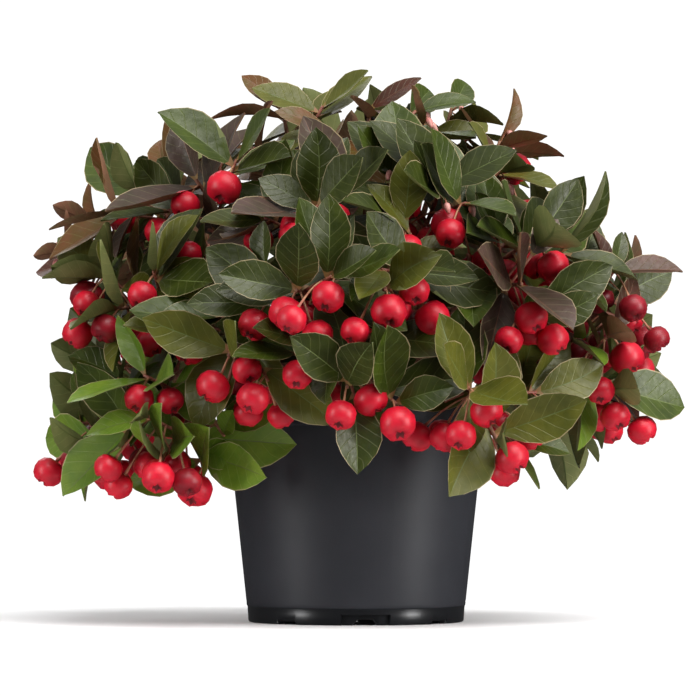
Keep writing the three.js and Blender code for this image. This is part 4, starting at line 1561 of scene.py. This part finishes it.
# %% [markdown]
# Six drain holes go through the pot's base. The real mould has a pin for each, and here a Boolean modifier
# takes six short cylinders out of the finished pot and is applied.

# %% The pot and its drain holes
POT_CREASE = 35
DRAIN = {"count": 6, "radius": 4.0, "ring": 34.0, "sides": 24, "rows": 3, "from": 2, "to": 10}

rows, columns = len(POT_SECTION), len(turns)
wall, fans = closed_faces(rows, columns)
looks = np.zeros((rows - 1, columns), int)
looks[GLOSSY_ROWS] = 1
looks = np.concatenate([looks.ravel(), [0] * len(fans)])
nursery_pot = build_piece("nursery_pot", pot_points(), wall, [satin, polished], looks, triangles=fans)

spin = (np.arange(DRAIN["count"]) + 0.5) * 2 * np.pi / DRAIN["count"] + math.radians(POT_TURN)
middles = np.stack([np.cos(spin), np.sin(spin), 0 * spin], axis=1) * DRAIN["ring"]
lines = middles[:, None] + np.linspace(DRAIN["from"], DRAIN["to"], DRAIN["rows"])[:, None] * UP
drills = tube_piece("drills", lines, DRAIN["radius"], satin, DRAIN["sides"])
cut = nursery_pot.modifiers.new("drain holes", "BOOLEAN")
cut.object, cut.operation, cut.solver = drills, "DIFFERENCE", "EXACT"
bpy.context.view_layer.objects.active = nursery_pot
bpy.ops.object.modifier_apply(modifier=cut.name)
bpy.data.objects.remove(drills)
nursery_pot.data.set_sharp_from_angle(angle=math.radians(POT_CREASE))
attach(nursery_pot, "root")
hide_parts("pot")

# %% [markdown]
# The pot is filled with damp peat, dark brown and crumbly, mounded a little to its middle. Crumbs are
# real relief on the mesh, because they catch light from the side, and the finest ones are a bump.

# %% The peat
PEAT = {"seed": 5, "rings": 70, "sides": 150, "first_ring": 0.02, "radius": 56.5, "level_from": 0.97}
PEAT_FOOT = {"share": 0.86, "height": 8.2}
CRUMB_HEIGHT = 1.1
CLODS = {"height": 0.5, "round": 7, "skew": 9, "outward": 23}


def peat_points():
    """The mound, which falls with the square of the way out, with crumbs and clods on it, and its foot.

    A crumb is a random height, evened out with its two neighbours in the ring. The clods are two waves
    multiplied. Both stop short of the wall.
    """
    crumbs = np.random.default_rng(PEAT["seed"]).random((PEAT["rings"], PEAT["sides"]))
    crumbs = (crumbs + np.roll(crumbs, 1, axis=1) + np.roll(crumbs, -1, axis=1)) / 3
    share = np.linspace(PEAT["first_ring"], 1, PEAT["rings"])[:, None]
    turn = turns_of(PEAT["sides"])
    mound = SOIL["top"] - SOIL["crown"] * share**2
    waves = np.sin(CLODS["round"] * turn + CLODS["skew"] * share) * np.sin(CLODS["outward"] * share)
    rough = CRUMB_HEIGHT * (crumbs - 0.5) + CLODS["height"] * waves
    height = mound + rough * (share < PEAT["level_from"])
    radius = share * PEAT["radius"] + 0 * turn
    surface = np.stack([radius * np.cos(turn), radius * np.sin(turn), height], axis=-1)
    foot = surface[-1] * [PEAT_FOOT["share"], PEAT_FOOT["share"], 0] + [0, 0, PEAT_FOOT["height"]]
    poles = [[0, 0, SOIL["top"]], [0, 0, PEAT_FOOT["height"]]]
    return np.concatenate([surface.reshape(-1, 3), foot, poles])


peat, tree, shader, spot = start_material("damp peat", roughness=0.9, ior=1.5)
crumb = put(tree, NOISE, sized(spot, 2.5, detail=6))
bump = put(tree, BUMP, raised(crumb, depth_mm=0.8))
connect(tree, shader, {"Base Color": two_tone(tree, crumb, "#1c130d", "#3d2b1f"), "Normal": bump})

wall, fans = closed_faces(PEAT["rings"] + 1, PEAT["sides"], upward=False)
filling = build_piece("peat", peat_points(), wall, [peat], triangles=fans)
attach(filling, "root")
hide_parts("soil")
